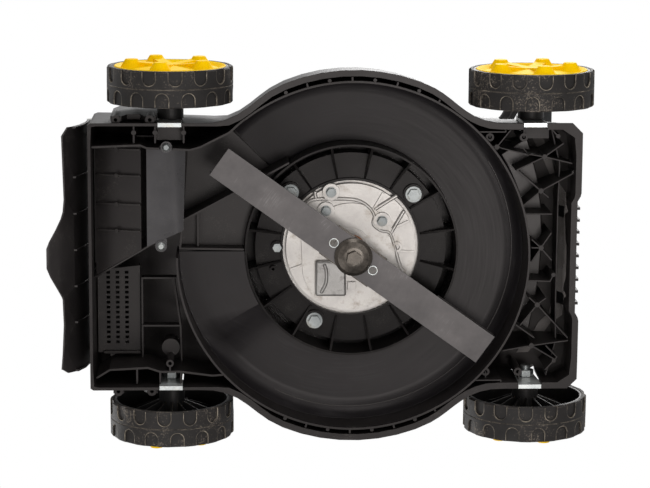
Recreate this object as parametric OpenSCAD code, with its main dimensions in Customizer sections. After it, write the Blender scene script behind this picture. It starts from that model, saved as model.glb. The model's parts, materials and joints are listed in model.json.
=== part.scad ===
// Petrol lawn mower with a moulded deck, a rear discharge tunnel and a folding, telescopic handle.
// It stands on its wheels, +Z up and +X forward, with the left side at +Y.
// Heights are above the ground. Places in the plan are measured from the crankshaft's axis,
// and the whole model is then moved along X so that the origin is under its middle.

/* [Deck] */
// Height of the deck's lower rim above the ground
rim_z = 28; // [24:1:34]
// How far the rim stands out beyond the chamber's inner wall
rim_out = 15.7; // [14.5:0.1:18]
// Width of the flat rim
rim_w = 7.5; // [6:0.5:8]
// Height of the rim's flange
rim_h = 5; // [3:0.5:8]
// How far the side wall stands in from the rim's edge
wall_in = 5; // [4:0.5:5.5]
// Inner radius of the cutting chamber
chamber_r = 211.3; // [206:0.5:212]
// Wall thickness of the moulding
wall_t = 2.5; // [2:0.1:3]
// Height of the deck's top round the engine
deck_top = 138; // [136:1:144]
// Radius of the deck's upper edge
shoulder_r = 26; // [18:1:30]
// How much the deck rises towards the rear
rear_rise = 34; // [30:1:40]
// How much the nose falls towards the front
nose_drop = 44; // [30:1:50]
// Distance from the crankshaft to the rear edge of the deck
deck_back = 318; // [314:1:326]
// Distance from the crankshaft to the front edge of the deck
deck_front = 274; // [270:1:290]
// Half the width of the nose and of the rear body
body_half = 163; // [162:0.5:165]

/* [Engine seat] */
// Radius of the hole under the engine
seat_hole_r = 84; // [82:0.5:90]
// Height of the face that the engine stands on
seat_z = 105; // [103:0.5:106]
// Thickness of the engine seat
seat_t = 5; // [4:0.5:6]
// Outer radius of the round well that holds the engine
well_r = 118; // [116:0.5:119]
// Outer radius of the ring wall under the seat
hub_wall_r = 131; // [130:0.5:134]
// Height of the ring wall's lower edge
hub_wall_z = 75; // [72:0.5:80]
// Number of radial ribs under the seat
seat_ribs = 16; // [12:2:20]
// Radius of the engine's bolt circle
bolt_circle_r = 101.6; // [100:0.1:103]
// Diameter of the engine's bolts
engine_bolt_d = 8; // [6:0.5:8]

/* [Scroll and tunnel] */
// Height of the flat cut-off plate
cutoff_z = 72; // [70:0.5:76]
// Height of the scroll's ceiling after the ramp
scroll_start_z = 88; // [84:1:92]
// Height of the scroll's ceiling at its outlet
scroll_end_z = 125; // [120:0.5:126]
// Radius of the fillet between the ceiling and the wall
scroll_fillet = 22; // [16:1:24]
// Height of the mouth's lower edge
mouth_low_z = 74; // [72:1:80]
// Height of the mouth's upper edge
mouth_top_z = 140; // [136:1:142]
// Thickness of the grey plate under the tunnel
plate_t = 2; // [1.5:0.1:2.5]

/* [Wheels] */
// Radius of the wheels
wheel_r = 76; // [74:1:78]
// Width of a tyre
tyre_w = 43.6; // [40:0.2:45]
// Distance from the crankshaft back to the rear axle
rear_axle = 220.6; // [218:0.2:222]
// Distance from the crankshaft forward to the front axle
front_axle = 216.7; // [215:0.1:220]
// Gap between the rear body and the inner face of a rear tyre
rear_tyre_gap = 20.7; // [20:0.1:25]
// Gap between the nose and the inner face of a front tyre
front_tyre_gap = 17; // [16.5:0.1:21]
// Diameter of the stub axles
axle_d = 12.1; // [11:0.1:12.5]
// Number of tread lugs round one edge of a tyre
tread_lugs = 15; // [10:1:18]

/* [Blade] */
// Length of the blade
blade_l = 398; // [380:1:400]
// Width of the blade
blade_w = 39; // [34:1:42]
// Thickness of the blade
blade_t = 3; // [2.5:0.1:4]
// Height of the blade's underside
blade_z = 35; // [34:0.5:38]
// Angle of the blade from the forward axis
blade_turn = 35.6; // [0:0.1:90]
// How far the blade's wings turn up
wing_rise = 18; // [10:1:20]

/* [Engine] */
// Radius of the crankshaft at the oil seal
shaft_r = 12.5; // [11:0.1:13]
// Running gap between a shaft and its hole
run_gap = 0.06; // [0.03:0.01:0.08]
// Bore of the cylinder
bore_d = 62; // [58:1:64]
// Stroke of the piston
stroke = 42; // [36:1:44]
// Height of the cylinder's axis
cylinder_z = 184; // [183:0.5:188]
// Outer radius of the blower housing
housing_r = 103; // [101:0.5:104]
// Height of the blower housing's top
housing_top = 296; // [292:1:300]
// Length of the fuel tank along the deck
tank_l = 86; // [70:1:90]
// Half the width of the fuel tank
tank_half = 92; // [80:1:95]

/* [Handle] */
// Distance from the crankshaft back to the handle's pivot
pivot_back = 264; // [262:1:266]
// Height of the handle's pivot
pivot_z = 168; // [167:0.5:170]
// Angle of the folded handle above the deck
fold_angle = 20.6; // [20:0.1:22]
// How far a leg stands in from the side of the deck
leg_in = 45; // [44:0.5:46]
// Outer diameter of the legs
leg_d = 22; // [20:0.5:22]
// Length of a leg from its pivot
leg_l = 480; // [460:1:490]
// Outer diameter of the sliding upper handle
slider_d = 18; // [16:0.5:18.5]
// Half the width of the handlebar
grip_half = 160; // [150:1:165]

/* [Flap] */
// Height of the flap's hinge
flap_z = 160; // [158:0.5:162]
// Half the width of the flap
flap_half = 152; // [148:1:153]
// Diameter of the flap's hinge rod
flap_rod_d = 6; // [5:0.5:7]
// Thickness of the flap
flap_t = 2.5; // [2:0.1:3]

/* [Hidden] */
$fn = 64;

// Clearances that several pieces share
seat_gap = 0.3;
side_gap = 0.5;

rear_track_in = body_half + rear_tyre_gap;
front_track_in = body_half + front_tyre_gap;
leg_y = body_half - leg_in;
flywheel_r = housing_r - 25;
lean = 0.5;
under_in = wall_in + wall_t;
rim_r = chamber_r + rim_out;
ring_mid = chamber_r + wall_t / 2;

// The flap's tongue sets the rear end of the whole, and the front tyres its front end
flap_reach = 371;
crank_x = (flap_reach - front_axle - wheel_r) / 2;

function smooth_step(t) = let (c = min(max(t, 0), 1)) c * c * (3 - 2 * c);
function polar(r, a) = [r * cos(a), r * sin(a)];
function arc(c, r, a0, a1, n) = [for (i = [0:n]) c + polar(r, a0 + (a1 - a0) * i / n)];
function lerp(a, b, t) = a + (b - a) * t;

// Outline of the deck
rear_slope_start = 130;
nose_slope_start = 196;
corner_cut = 12;
rear_corner_cut = 2;
rear_inset = 1;
recess = 4.5;
recess_half = 69;
wheel_dip = 5;
dip_angle = 54;
dip_spread = 8;
blend = 16;

function top_z(x) = deck_top
    + rear_rise * smooth_step((-x - rear_slope_start) / (deck_back - rear_slope_start))
    - nose_drop * smooth_step((x - nose_slope_start) / (deck_front - nose_slope_start));
function front_recess(a) = cos(a) < 0.8 ? 0
    : recess * (1 - smooth_step((deck_front * abs(tan(a)) - recess_half) / 8));
function box_reach(a, d) =
    let (end = (cos(a) >= 0 ? deck_front - front_recess(a) : deck_back) - d, half = body_half - d,
         cut = cos(a) >= 0 ? corner_cut : rear_corner_cut,
         c = max(abs(cos(a)), 0.001), s = max(abs(sin(a)), 0.001))
    min(end / c, half / s, (end + half - cut) / (c + s));
function rim_dip(a) = let (b = min(abs(a), 180 - abs(a)))
    wheel_dip * exp(-pow((b - dip_angle) / dip_spread, 2));
function blended_max(a, b) = let (h = max(blend - abs(a - b), 0) / blend) max(a, b) + h * h * blend / 4;

// The wall stands in from the rim's edge by less at the rear body
function inset(a, d) = d <= 0 ? 0
    : d - (wall_in - rear_inset) * smooth_step((min(abs(a), 360 - abs(a)) - 132) / 6);
function outline_r(a, d) = let (e = inset(a, d)) blended_max(rim_r - rim_dip(a) - e, box_reach(a, e));

half_turn = concat([0, 5, 10, 14.2, 15.2, 16, 20, 25, 28.9, 31.9], [for (a = [35:3:65]) a],
                   [for (a = [70:6:112]) a], [for (a = [117:4:133]) a],
                   [136, 139, 142, 146, 150, 152.6, 153.2, 156, 160, 165, 170, 175]);
deck_angles = concat(half_turn, [180], [for (i = [len(half_turn) - 1:-1:1]) -half_turn[i]]);

// One ring of points of the shell, at the inset d and with its height below the deck's top
function shell_ring(d, drop) = [for (a = deck_angles)
    let (p = polar(outline_r(a, d), a)) [p.x, p.y, top_z(p.x) - drop]];
function rim_ring(d, z) = [for (a = deck_angles) let (p = polar(outline_r(a, d), a)) [p.x, p.y, z]];
function inward_ring(d, t, drop) = [for (a = deck_angles)
    let (r = lerp(outline_r(a, d), well_r + 2 * seat_gap, t), p = polar(r, a))
    [p.x, p.y, top_z(p.x) - drop]];

shell_t = 3;
shoulder_in = wall_in + lean;
shoulder_steps = 4;
flat_in = shoulder_in + shoulder_r;
flat_steps = [0.35, 0.7, 1];

shell_rings = concat(
    [rim_ring(0, rim_z), rim_ring(0, rim_z + rim_h), rim_ring(wall_in, rim_z + rim_h + 1.5)],
    [for (i = [0:shoulder_steps]) let (a = 90 * i / shoulder_steps)
        shell_ring(shoulder_in + shoulder_r * (1 - cos(a)), shoulder_r * (1 - sin(a)))],
    [for (t = flat_steps) inward_ring(flat_in, t, 0)],
    [for (i = [2:-1:0]) inward_ring(flat_in, flat_steps[i], shell_t)],
    [for (i = [shoulder_steps:-1:0]) let (a = 90 * i / shoulder_steps)
        shell_ring(shoulder_in + wall_t + shoulder_r * (1 - cos(a)),
                   shell_t + shoulder_r * (1 - sin(a)))],
    [rim_ring(under_in, rim_z + rim_h + 1.5), rim_ring(under_in, rim_z)]);

// A closed skin over rings of points, each ring closed too
module ring_skin(rings) {
    m = len(rings);
    n = len(rings[0]);
    polyhedron(
        points = [for (ring = rings) each ring],
        faces = [for (i = [0:m - 1], j = [0:n - 1])
            let (k = (i + 1) % m, l = (j + 1) % n)
            each [[i * n + j, k * n + j, k * n + l], [i * n + j, k * n + l, i * n + l]]]);
}

// A skin over open sections, closed by a strip of faces at each end
module section_skin(sections) {
    m = len(sections[0]);
    n = len(sections);
    last = (n - 1) * m;
    polyhedron(
        points = [for (s = sections) each s],
        faces = concat(
            [for (k = [0:n - 2], i = [0:m - 1])
                let (j = (i + 1) % m, a = k * m, b = a + m)
                each [[a + i, a + j, b + j], [a + i, b + j, b + i]]],
            [for (i = [0:m / 2 - 2])
                let (j = m - 1 - i)
                each [[i + 1, i, j], [i + 1, j, j - 1],
                      [last + i, last + i + 1, last + j], [last + i + 1, last + j - 1, last + j]]]));
}

// Sections of a round tube along a path that lies in planes parallel to the Y axis.
// Each corner is rounded over the length c on both sides.
function unit(v) = v / norm(v);
function rounded(path, c) = [for (i = [0:len(path) - 1])
    each i == 0 || i == len(path) - 1 ? [path[i]]
    : let (p = path[i] + c * unit(path[i - 1] - path[i]), q = path[i] + c * unit(path[i + 1] - path[i]))
      [for (t = [0:0.25:1]) (1 - t) * (1 - t) * p + 2 * t * (1 - t) * path[i] + t * t * q]];
function tube_sections(path, r, sides) = [for (i = [0:len(path) - 1])
    let (v = unit(path[min(i + 1, len(path) - 1)] - path[max(i - 1, 0)]),
         a = i == 0 || i == len(path) - 1 ? v : unit(path[i + 1] - path[i]),
         b = abs(v.z) > 0.99 ? [1, 0, 0] : unit(cross([0, 0, 1], v)), w = cross(v, b), k = 1 / (a * v))
    [for (j = [0:sides - 1]) path[i] + r * (k * cos(360 * j / sides) * b - sin(360 * j / sides) * w)]];
module tube(path, r, c, sides) {
    section_skin(tube_sections(rounded(path, c), r, sides));
}

// Moves what is drawn round the crankshaft to its place over the origin
module at_crank() {
    translate([crank_x, 0, 0]) children();
}

// An upright wall between two places in the plan, with its heights at each end
module wall(p, q, low, top, t = wall_t) {
    hull() for (i = [0, 1]) translate([[p, q][i].x, [p, q][i].y, low[i]])
        cylinder(d = t, h = top[i] - low[i], $fn = 8);
}

module each_side() {
    children();
    mirror([0, 1, 0]) children();
}

// A flat piece of thickness t, drawn in the X and Z plane and centred on Y
module plate_y(t) {
    rotate([90, 0, 0]) translate([0, 0, -t / 2]) linear_extrude(t) children();
}

module tube_y(r, y0, y1) {
    translate([0, y0, 0]) rotate([-90, 0, 0]) cylinder(r = r, h = y1 - y0);
}

module tube_x(r, x0, x1) {
    translate([x0, 0, 0]) rotate([0, 90, 0]) cylinder(r = r, h = x1 - x0);
}

module ring_z(r1, r0, z0, z1) {
    translate([0, 0, z0]) difference() {
        cylinder(r = r1, h = z1 - z0, $fn = 128);
        post(-1, r0, z1 - z0 + 2, 128);
    }
}

module block(lo, hi) {
    translate(lo) cube(hi - lo);
}

// A block with its edges cut back by c
module soft_block(lo, hi, c) {
    for (k = [[0, 1, 1], [1, 0, 1], [1, 1, 0]]) block(lo + c * k, hi - c * k);
}

// A round post that stands on z0
module post(z0, r, h, n = $fn) {
    translate([0, 0, z0]) cylinder(r = r, h = h, $fn = n);
}

// Hexagon across flats w, standing on z0
module hex_head(w, z0, h) {
    translate([0, 0, z0]) cylinder(d = w / cos(30), h = h, $fn = 6);
}

// Deck shell
slot_half = 14.3;
slot_top = 106.3;
mouth_y = [-131, 26];
axle_places = [-rear_axle, front_axle];

module deck_shell() {
    color("#2b2a2c") at_crank() difference() {
        ring_skin(shell_rings);
        block([-deck_back - 5, mouth_y[0], mouth_low_z], [-deck_back + 40, mouth_y[1], mouth_top_z - 6]);
        for (x = axle_places, s = [-1, 1])
            translate([x, s * body_half, 0])
                block([-slot_half, -12, rim_z - 1], [slot_half, 12, slot_top]);
    }
}

// Walls of the cutting chamber and of the discharge tunnel
ring_open_angle = 128;
ring_top = 108;
pocket_pitch = 14.4;
wall_top = 123.5;
wall_low = 32;
roof_z = scroll_end_z;
roof_back_z = mouth_top_z - 1;
roof_flat_x = -200;
tunnel_end_x = rear_inset + wall_t + lean + wall_t / 2 + seat_gap - deck_back;
sweep_z = 68;
tunnel_right = [[tunnel_end_x, -133.7], [-255.8, -136], [-247.5, -132.5], [-196.3, -130.4],
                [-184.4, -133.7], [-162.9, -144.5], polar(ring_mid, -134.6), polar(ring_mid, -131.4),
                polar(ring_mid, -ring_open_angle - 0.1)];
cutoff_r = chamber_r - 1.6;
tunnel_left = [[tunnel_end_x, 31], [-236.6, -16.4], polar(cutoff_r, -169.3), [-146.3, -71],
               [-106.4, -93.5], [-78, -109]];
screw_right = [-225, -131.7];
screw_left = [-232, -11];
plate_z = 50;

function roof_at(x) = x > roof_flat_x ? roof_z
    : lerp(roof_z, roof_back_z, (roof_flat_x - x) / (roof_flat_x - tunnel_end_x));

// The tunnel's right wall comes down to the ring wall's height where the two meet
function right_top(i) = i < len(tunnel_right) - 3 ? roof_at(tunnel_right[i].x) : ring_top;

module pocket_rib(a) {
    r0 = chamber_r + wall_t - 0.4;
    r1 = outline_r(a, under_in) - lean - 2 * seat_gap;
    if (r1 - r0 > 3)
        rotate([0, 0, a]) block([r0, -1.1, rim_z + 1], [r1, 1.1, ring_top - 12]);
}

module pocket_pin(a) {
    pin_r = 2.3;
    r0 = chamber_r + wall_t;
    if (outline_r(a, under_in) - r0 > 2 * pin_r)
        rotate([0, 0, a]) translate([r0 + pin_r - 0.4, 0, rim_z + 2]) cylinder(r = pin_r, h = 40, $fn = 24);
}

module chamber_walls() {
    color("#242325") at_crank() difference() {
        union() {
            rotate([0, 0, -ring_open_angle])
                rotate_extrude(angle = 180 + ring_open_angle, $fn = 180)
                    translate([chamber_r, rim_z]) square([wall_t, ring_top - rim_z]);
            for (s = [-1, 1], a = [62:pocket_pitch:124]) {
                pocket_rib(s * a);
                pocket_pin(s * (a + pocket_pitch / 2));
            }
            for (i = [0:len(tunnel_right) - 2])
                wall(tunnel_right[i], tunnel_right[i + 1], [wall_low, wall_low],
                     [right_top(i), right_top(i + 1)]);
            wall(tunnel_left[0], tunnel_left[1], [70, 53], [roof_at(tunnel_end_x), roof_at(-236)]);
            wall(tunnel_left[1], tunnel_left[2], [53, 53], [roof_at(-236), roof_at(-206)]);
            for (i = [2:len(tunnel_left) - 2])
                wall(tunnel_left[i], tunnel_left[i + 1], [sweep_z, sweep_z], [wall_top, wall_top]);
            tunnel_roof();
            cutoff_walls();
            for (p = [screw_right, screw_left])
                translate([p.x, p.y, plate_z + 1.5]) cylinder(r = 5.5, h = 22, $fn = 32);
        }
        translate([screw_right.x, screw_right.y, 0]) block([-8, -8, wall_low - 1], [8, 8, plate_z + 1.6]);
        for (p = [screw_right, screw_left])
            translate([p.x, p.y, plate_z]) cylinder(r = 2.1, h = 18, $fn = 24);
    }
}

module tunnel_roof() {
    translate([0, 0, roof_z]) linear_extrude(wall_t) polygon([
        polar(134, -136), polar(cutoff_r, -135.8), [-162.9, -144.5], [-184.4, -133.7],
        [roof_flat_x, -131], tunnel_left[2], tunnel_left[3], tunnel_left[4]]);
    run = norm([roof_flat_x - tunnel_end_x, roof_back_z - roof_z]);
    slope = atan2(roof_back_z - roof_z, roof_flat_x - tunnel_end_x);
    translate([roof_flat_x, 0, roof_z]) rotate([0, slope, 0]) linear_extrude(wall_t)
        polygon([[0, -131], [-47.5, -132.5], [-run, -134], [-run, 31], [-36.6, -16.4], [0, -42]]);
}

module cutoff_walls() {
    wall([-hub_wall_r - 2, -2.2], [-cutoff_r, -3.6], [cutoff_z, cutoff_z], [wall_top, wall_top]);
    wall([-cutoff_r, -3.6], tunnel_left[2], [cutoff_z, cutoff_z], [wall_top, wall_top]);
    difference() {
        translate([0, 0, 95]) linear_extrude(wall_t) polygon([
            [-cutoff_r, -3.6], tunnel_left[2], tunnel_left[3], tunnel_left[4], tunnel_left[5], [-95, -60],
            [-120, -3]]);
        post(90, hub_wall_r + seat_gap, 12, 128);
    }
    wall([-188, -3], [-188, -47], [82, 82], [96, 96]);
}

// Scroll ceiling, from the tunnel's mouth round to the cut-off plate
scroll_from = -135;
ramp_end = 139;
ramp_start = 150;
scroll_to = 180;
scroll_steps = 63;

function ceiling_z(a) =
    a > ramp_start ? cutoff_z
    : a > ramp_end ? lerp(scroll_start_z, cutoff_z, (a - ramp_end) / (ramp_start - ramp_end))
    : lerp(scroll_end_z, scroll_start_z, (a - scroll_from) / (ramp_end - scroll_from));
function fillet_share(a) = 1 - smooth_step((a - ramp_end) / (ramp_start - ramp_end));
function scroll_section(a) =
    let (z = ceiling_z(a), f = scroll_fillet * fillet_share(a), r0 = hub_wall_r + seat_gap,
         r1 = chamber_r - seat_gap, steps = [0, 22.5, 45, 67.5, 90],
         low = [for (b = steps) [r1 - scroll_fillet * (1 - sin(b)), z - f * (1 - cos(b))]],
         profile = concat([[r0, z]], low, [for (i = [4:-1:0]) low[i] + [0, wall_t]], [[r0, z + wall_t]]))
    [for (p = profile) [p.x * cos(a), p.x * sin(a), p.y]];

module scroll_liner() {
    color("#333234") at_crank() section_skin([for (i = [0:scroll_steps])
        scroll_section(lerp(scroll_from, scroll_to, i / scroll_steps))]);
}

// Engine seat
engine_bolt_angles = [-137, -41, 116];
pocket_top = deck_top - shell_t - seat_gap;
rib_first = 11.25;
lip_r = 87;
lip_z = 96;
boss_r = 12.5;
screw_boss = [-95.8, 26, lip_z - 5];
screw_r = 1.8;
screw_depth = 12;

module at_bolts(z) {
    for (a = engine_bolt_angles) translate(concat(polar(bolt_circle_r, a), [z])) children();
}

module engine_seat() {
    color("#2a292b") at_crank() difference() {
        union() {
            rotate_extrude($fn = 180) polygon([
                [seat_hole_r, lip_z], [lip_r, lip_z], [lip_r, seat_z - seat_t],
                [well_r, seat_z - seat_t], [well_r, pocket_top - wall_t],
                [hub_wall_r - wall_t, pocket_top - wall_t], [hub_wall_r - wall_t, hub_wall_z],
                [hub_wall_r, hub_wall_z], [hub_wall_r, pocket_top], [well_r, pocket_top],
                [well_r, deck_top], [well_r - 3, deck_top], [well_r - 3, seat_z],
                [seat_hole_r, seat_z]]);
            for (i = [0:seat_ribs - 1])
                rotate([0, 0, rib_first + 360 * i / seat_ribs]) seat_rib();
            at_bolts(lip_z - 1) cylinder(r = boss_r, h = seat_z - seat_t - lip_z + 2);
            translate([-91, -1, lip_z - 2]) cylinder(r = 7.5, h = 8);
            translate(screw_boss) cylinder(r = 3.8, h = seat_z - seat_t - screw_boss.z + 1);
        }
        at_bolts(lip_z - 10) cylinder(d = engine_bolt_d + 2 * side_gap, h = 40);
        translate([-91, -1, lip_z - 10]) cylinder(d = 6.4, h = 40, $fn = 32);
        translate(screw_boss - [0, 0, 1]) cylinder(r = screw_r, h = screw_depth + 1);
    }
}

module seat_rib() {
    under = seat_z - seat_t + 0.5;
    plate_y(2.5) polygon([
        [seat_hole_r + 2.5, lip_z + 2], [hub_wall_r - 2, hub_wall_z + 4],
        [hub_wall_r - 2, pocket_top - 2], [well_r - 1, pocket_top - 2], [well_r - 1, under],
        [seat_hole_r + 2.5, under]]);
}

// Ribs of the nose, drawn by hand as lines in the plan
nose_low = 40;
nose_rib_t = 1.5;
rib_gap = 0.9;
nose_nodes = [[172, 30 - body_half], [230, -121], [226.5, -79.5], [228, -9.5], [225, 61], [219, 112]];
nose_spokes = [
    [[[-8, -1], [0, 22]], [[16, -20]], [[38, 10]]],
    [[[33, 8]], [[22, -16]], [[-33, 16]], [[-18, -3]]],
    [[[-30, -25]], [[9, 8]], [[38, -21]], [[-22, 19]]],
    [[[-11, -10]], [[13, 15]], [[12, -18]], [[-11, 17]], [[-11, 0]]],
    [[[-10, -9]], [[10, -8]], [[-20, 25]], [[38, 41]]],
    [[[-34, 6]], [[44, -6]], [[30, 18]]]];
nose_walls = [[[198, -51], [240, -51]], [[196.8, -105], [226.5, -79.5]], [[199.5, 86], [222, 102]],
              [[237, 112.5], [250.8, 126.4]], [[250.8, 126.4], [237, body_half - 21]],
              [[211, 31], [240, 32]], [[244, 24], [240, 32]],
              [[246, 17 - body_half], [238, 9 - body_half]]];
boss_y = body_half - 18.3;
nose_bosses = [[163.4, -boss_y], [204.4, -boss_y], [163.4, boss_y], [203, boss_y]];
nose_pins = [[246, 17 - body_half], [266, -102], [247, 131], [244, 24]];

// Height of the shell's underside over a place in the plan
function under_z(p) =
    let (a = atan2(p.y, p.x), flat = outline_r(a, flat_in))
    lookup(norm(p), concat(
        [for (i = [0:shoulder_steps]) let (b = 90 * i / shoulder_steps,
            r = outline_r(a, shoulder_in + wall_t + shoulder_r * (1 - cos(b))))
            [r, top_z(r * cos(a)) - shell_t - shoulder_r * (1 - sin(b))]],
        [for (t = flat_steps) let (r = lerp(flat, well_r + 2 * seat_gap, t))
            [r, top_z(r * cos(a)) - shell_t]]));

module rib_post(p, low) {
    translate([p.x, p.y, low])
        cylinder(d = nose_rib_t, h = under_z(p + 2 * nose_rib_t * unit(p)) - rib_gap - low, $fn = 8);
}

module nose_rib(p, q, low = nose_low) {
    n = max(1, ceil(norm(q - p) / 14));
    for (i = [0:n - 1]) hull() {
        rib_post(lerp(p, q, i / n), low);
        rib_post(lerp(p, q, (i + 1) / n), low);
    }
}

module nose_ribs() {
    color("#29282a") at_crank() intersection() {
        union() {
            for (i = [0:len(nose_nodes) - 1]) {
                c = nose_nodes[i];
                translate([c.x, c.y, nose_low - 1]) cylinder(r = 3.2, h = 50, $fn = 24);
                for (spoke = nose_spokes[i]) nose_rib(c, c + spoke[0]);
            }
            for (line = nose_walls) nose_rib(line[0], line[1]);
            for (p = nose_bosses) translate([p.x, p.y, nose_low]) difference() {
                cylinder(r = 5, h = 56, $fn = 32);
                post(-1, 2.3, 30, 24);
            }
            for (p = nose_pins) translate([p.x, p.y, nose_low]) cylinder(r = 2.6, h = 26, $fn = 24);
            for (s = [-1, 1]) {
                inner = body_half - 10.4;
                nose_rib([150, s * inner], [181, s * inner], rim_z + 1);
                nose_rib([181, s * inner], [181, s * body_half], rim_z + 1);
                nose_rib([163.4, s * boss_y], [163.4, s * inner]);
                nose_rib([204.4, s * boss_y], [204.4, s * body_half]);
            }
            nose_frame();
            translate([222, 7 - body_half, 58]) block([-15, 0, 0], [15, 15, 2]);
        }
        difference() {
            linear_extrude(150) polygon([for (a = deck_angles)
                let (p = polar(outline_r(a, under_in + lean + seat_gap), a)) [max(p.x, 0), p.y]]);
            cylinder(r = chamber_r + wall_t + seat_gap, h = 160, $fn = 180);
        }
    }
}

// Short upright ribs in the shallow recess of the front bumper
bumper_count = 9;
bumper_pitch = 14.6;

module bumper_ribs() {
    back = deck_front - recess - wall_in + seat_gap;
    color("#232224") at_crank() {
        block([back, -recess_half + 4, 40], [back + 2, recess_half - 4, 84]);
        for (i = [0:bumper_count - 1]) translate([0, bumper_pitch * (i - (bumper_count - 1) / 2), 0])
            block([back, -1.6, rim_z + rim_h + 3], [deck_front, 1.6, 84]);
    }
}

module nose_frame() {
    end = body_half - 10;
    pts = [[240, -end], [251, -110], [250, -60], [250, 60], [251, 110], [240, end]];
    for (i = [0:len(pts) - 2])
        nose_rib(pts[i], pts[i + 1], 58);
}

// Ribs and bays at the rear
rear_low = 40;
rear_rib_top = 108;
rear_ribs_x = [-263.5, -238, -204];

module rear_wall(p, q, low = rear_low, t = 2.2) {
    hull() for (v = [p, q]) translate([v.x, v.y, low]) cylinder(d = t, h = rear_rib_top - low, $fn = 8);
}

module rear_pin(x, y, r, low) {
    translate([x, y, low]) cylinder(r = r, h = rear_rib_top - low, $fn = 24);
}

module rear_ribs() {
    side = plate_in_y - seat_gap;
    bay_y = body_half - 20;
    bay = [[tunnel_end_x + 2, bay_y + 7], [-295, bay_y - 2.6], [-248.7, bay_y - 5], [-234, bay_y],
           [-208.7, bay_y], [-171, bay_y + 5], [-158, bay_y + 4]];
    color("#29282a") at_crank() difference() {
        union() {
            for (x = rear_ribs_x) {
                rear_wall([x, 1.1 - side], [x, 24.6 - body_half]);
                rear_pin(x, 12.5 - body_half, 3, rear_low - 2);
            }
            rear_wall([-263.5, 24.6 - body_half], [-204, 24.6 - body_half], 96);
            for (p = [[-262, -4], [-234, 0], [-208.7, 0]])
                rear_wall([p.x, bay_y + p.y], [p.x, side - 1.1]);
            for (i = [0:len(bay) - 2]) rear_wall(bay[i], bay[i + 1], rear_low, wall_t);
            rear_pin(-222, bay_y - 10.4, 4.6, rear_low);
            rear_pin(-222, bay_y - 21, 11, 82);
            rear_wall([-222, bay_y - 21], [-222, bay_y - 11], 82, 5);
            translate([-221, 0, 58]) block([-16, -side, 0], [16, 24 - body_half, 2]);
            rear_wall([-222, bay_y - 10], [-222, bay_y]);
            rear_wall([-257, 37], [-216, 37], 92);
            rear_wall([-257, 97], [-210, 97], 92);
            rear_wall([-218, 37], [-210, 97], 92);
            rear_wall([-210, 97], [-208.7, bay_y], 92);
            rear_wall([-257, 37], [-257, bay_y - 4], 96);
        }
        translate([-222, bay_y - 10.4, rear_low - 1]) cylinder(r = 2.2, h = 30, $fn = 24);
    }
}

// Floor of the tunnel, with its ribs underneath
floor_front_x = -256;
floor_front_z = 51;
floor_slope = 17;
floor_rib_y = [-128.5, -96.5, -61.5, -29];

module chute_floor() {
    run = (floor_front_x - tunnel_end_x - 1) / cos(floor_slope);
    translate([floor_front_x, 0, floor_front_z]) rotate([0, floor_slope, 0]) {
        linear_extrude(wall_t) polygon([[0, -134.3], [0, -6.6], [-run, 28], [-run, -132.1]]);
        for (y = floor_rib_y) {
            translate([0, y, 0]) plate_y(1.8)
                polygon([[0, 0.5], [0, -3], [-6, -5], [-run + 4, -5], [-run + 1, 0.5]]);
            translate([-29, y, -7]) cylinder(r = 2.6, h = 8, $fn = 24);
        }
    }
}

module rear_floor() {
    color("#3b3a3c") at_crank() {
        chute_floor();
        vent_panel();
    }
}

// Grey plate between the chamber and the tunnel's floor
plate_front_x = -202;
plate_bend_x = -213;
plate_rear_x = -249;
pad_z = plate_z - 2.8;

module chute_plate() {
    color("#8f8f92") at_crank() difference() {
        union() {
            intersection() {
                translate([0, -10, 0]) rotate([90, 0, 0]) linear_extrude(119) plate_profile();
                linear_extrude(100) polygon([
                    [plate_rear_x, -129], [plate_front_x, -129], [plate_front_x - 3, -31],
                    [plate_bend_x - 3, -25], [plate_rear_x, -10]]);
            }
            for (p = [screw_right, screw_left]) translate([p.x, p.y, pad_z])
                cylinder(r = 7, h = plate_z + 1.2 - pad_z);
            translate([screw_left.x, screw_left.y, plate_z - 0.8]) block([-7, -9, 0], [7, 0, plate_t]);
        }
        for (p = [screw_right, screw_left])
            translate([p.x, p.y, plate_z - 8]) cylinder(r = 2.4, h = 16, $fn = 24);
    }
}

module plate_profile() {
    polygon([[plate_rear_x, plate_z], [plate_bend_x, plate_z - 3], [plate_front_x, plate_z - 9],
             [plate_front_x + 0.6, plate_z - 7.4], [plate_bend_x + 0.5, plate_z - 1],
             [plate_rear_x, plate_z + plate_t]]);
}

// Vent panel over the hollow beside the tunnel
vent_z = rear_rib_top + seat_gap;
vent_x = [-305, -260];
vent_y = [24, 134];
vent_columns = [-301.6, -290.2, -278.8];
vent_rows = 15;
vent_pitch = 6.3;

module vent_panel() {
    difference() {
        union() {
            translate([0, 0, vent_z]) linear_extrude(wall_t) polygon([
                [vent_x[0], vent_y[0] + 5], [vent_x[1], vent_y[0]], [vent_x[1], vent_y[1]],
                [vent_x[0], vent_y[1]]]);
            block([vent_x[0], vent_y[1] - 3, vent_z - 7], [vent_x[1], vent_y[1], vent_z + 1]);
            block([vent_x[1] - 2, vent_y[0], vent_z], [vent_x[1], vent_y[1], vent_z + 14]);
            block([tunnel_end_x, vent_y[0] + 9, vent_z], [vent_x[0] + 1, vent_y[1], vent_z + 10]);
        }
        for (x = vent_columns, i = [0:vent_rows - 1])
            translate([x, vent_y[0] + 7 + vent_pitch * i, vent_z - 1]) cube([4.4, 3.4, wall_t + 2]);
    }
}

// Rear flap, hung on its rod
flap_x = -deck_back - 3.5;
ear_in = flap_half - 20;
ear_t = 5;
knuckle_r = 5;
flap_points = [[0, 0], [-2, -30], [-8, -58], [-17, -78], [-30, -92], [-47, -103]];

module flap_profile() {
    n = len(flap_points);
    outer = [for (p = flap_points) p];
    inner = [for (i = [n - 1:-1:0]) flap_points[i] + [flap_t, i == 0 ? 0 : 0.6]];
    polygon(concat(outer, inner));
}

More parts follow.
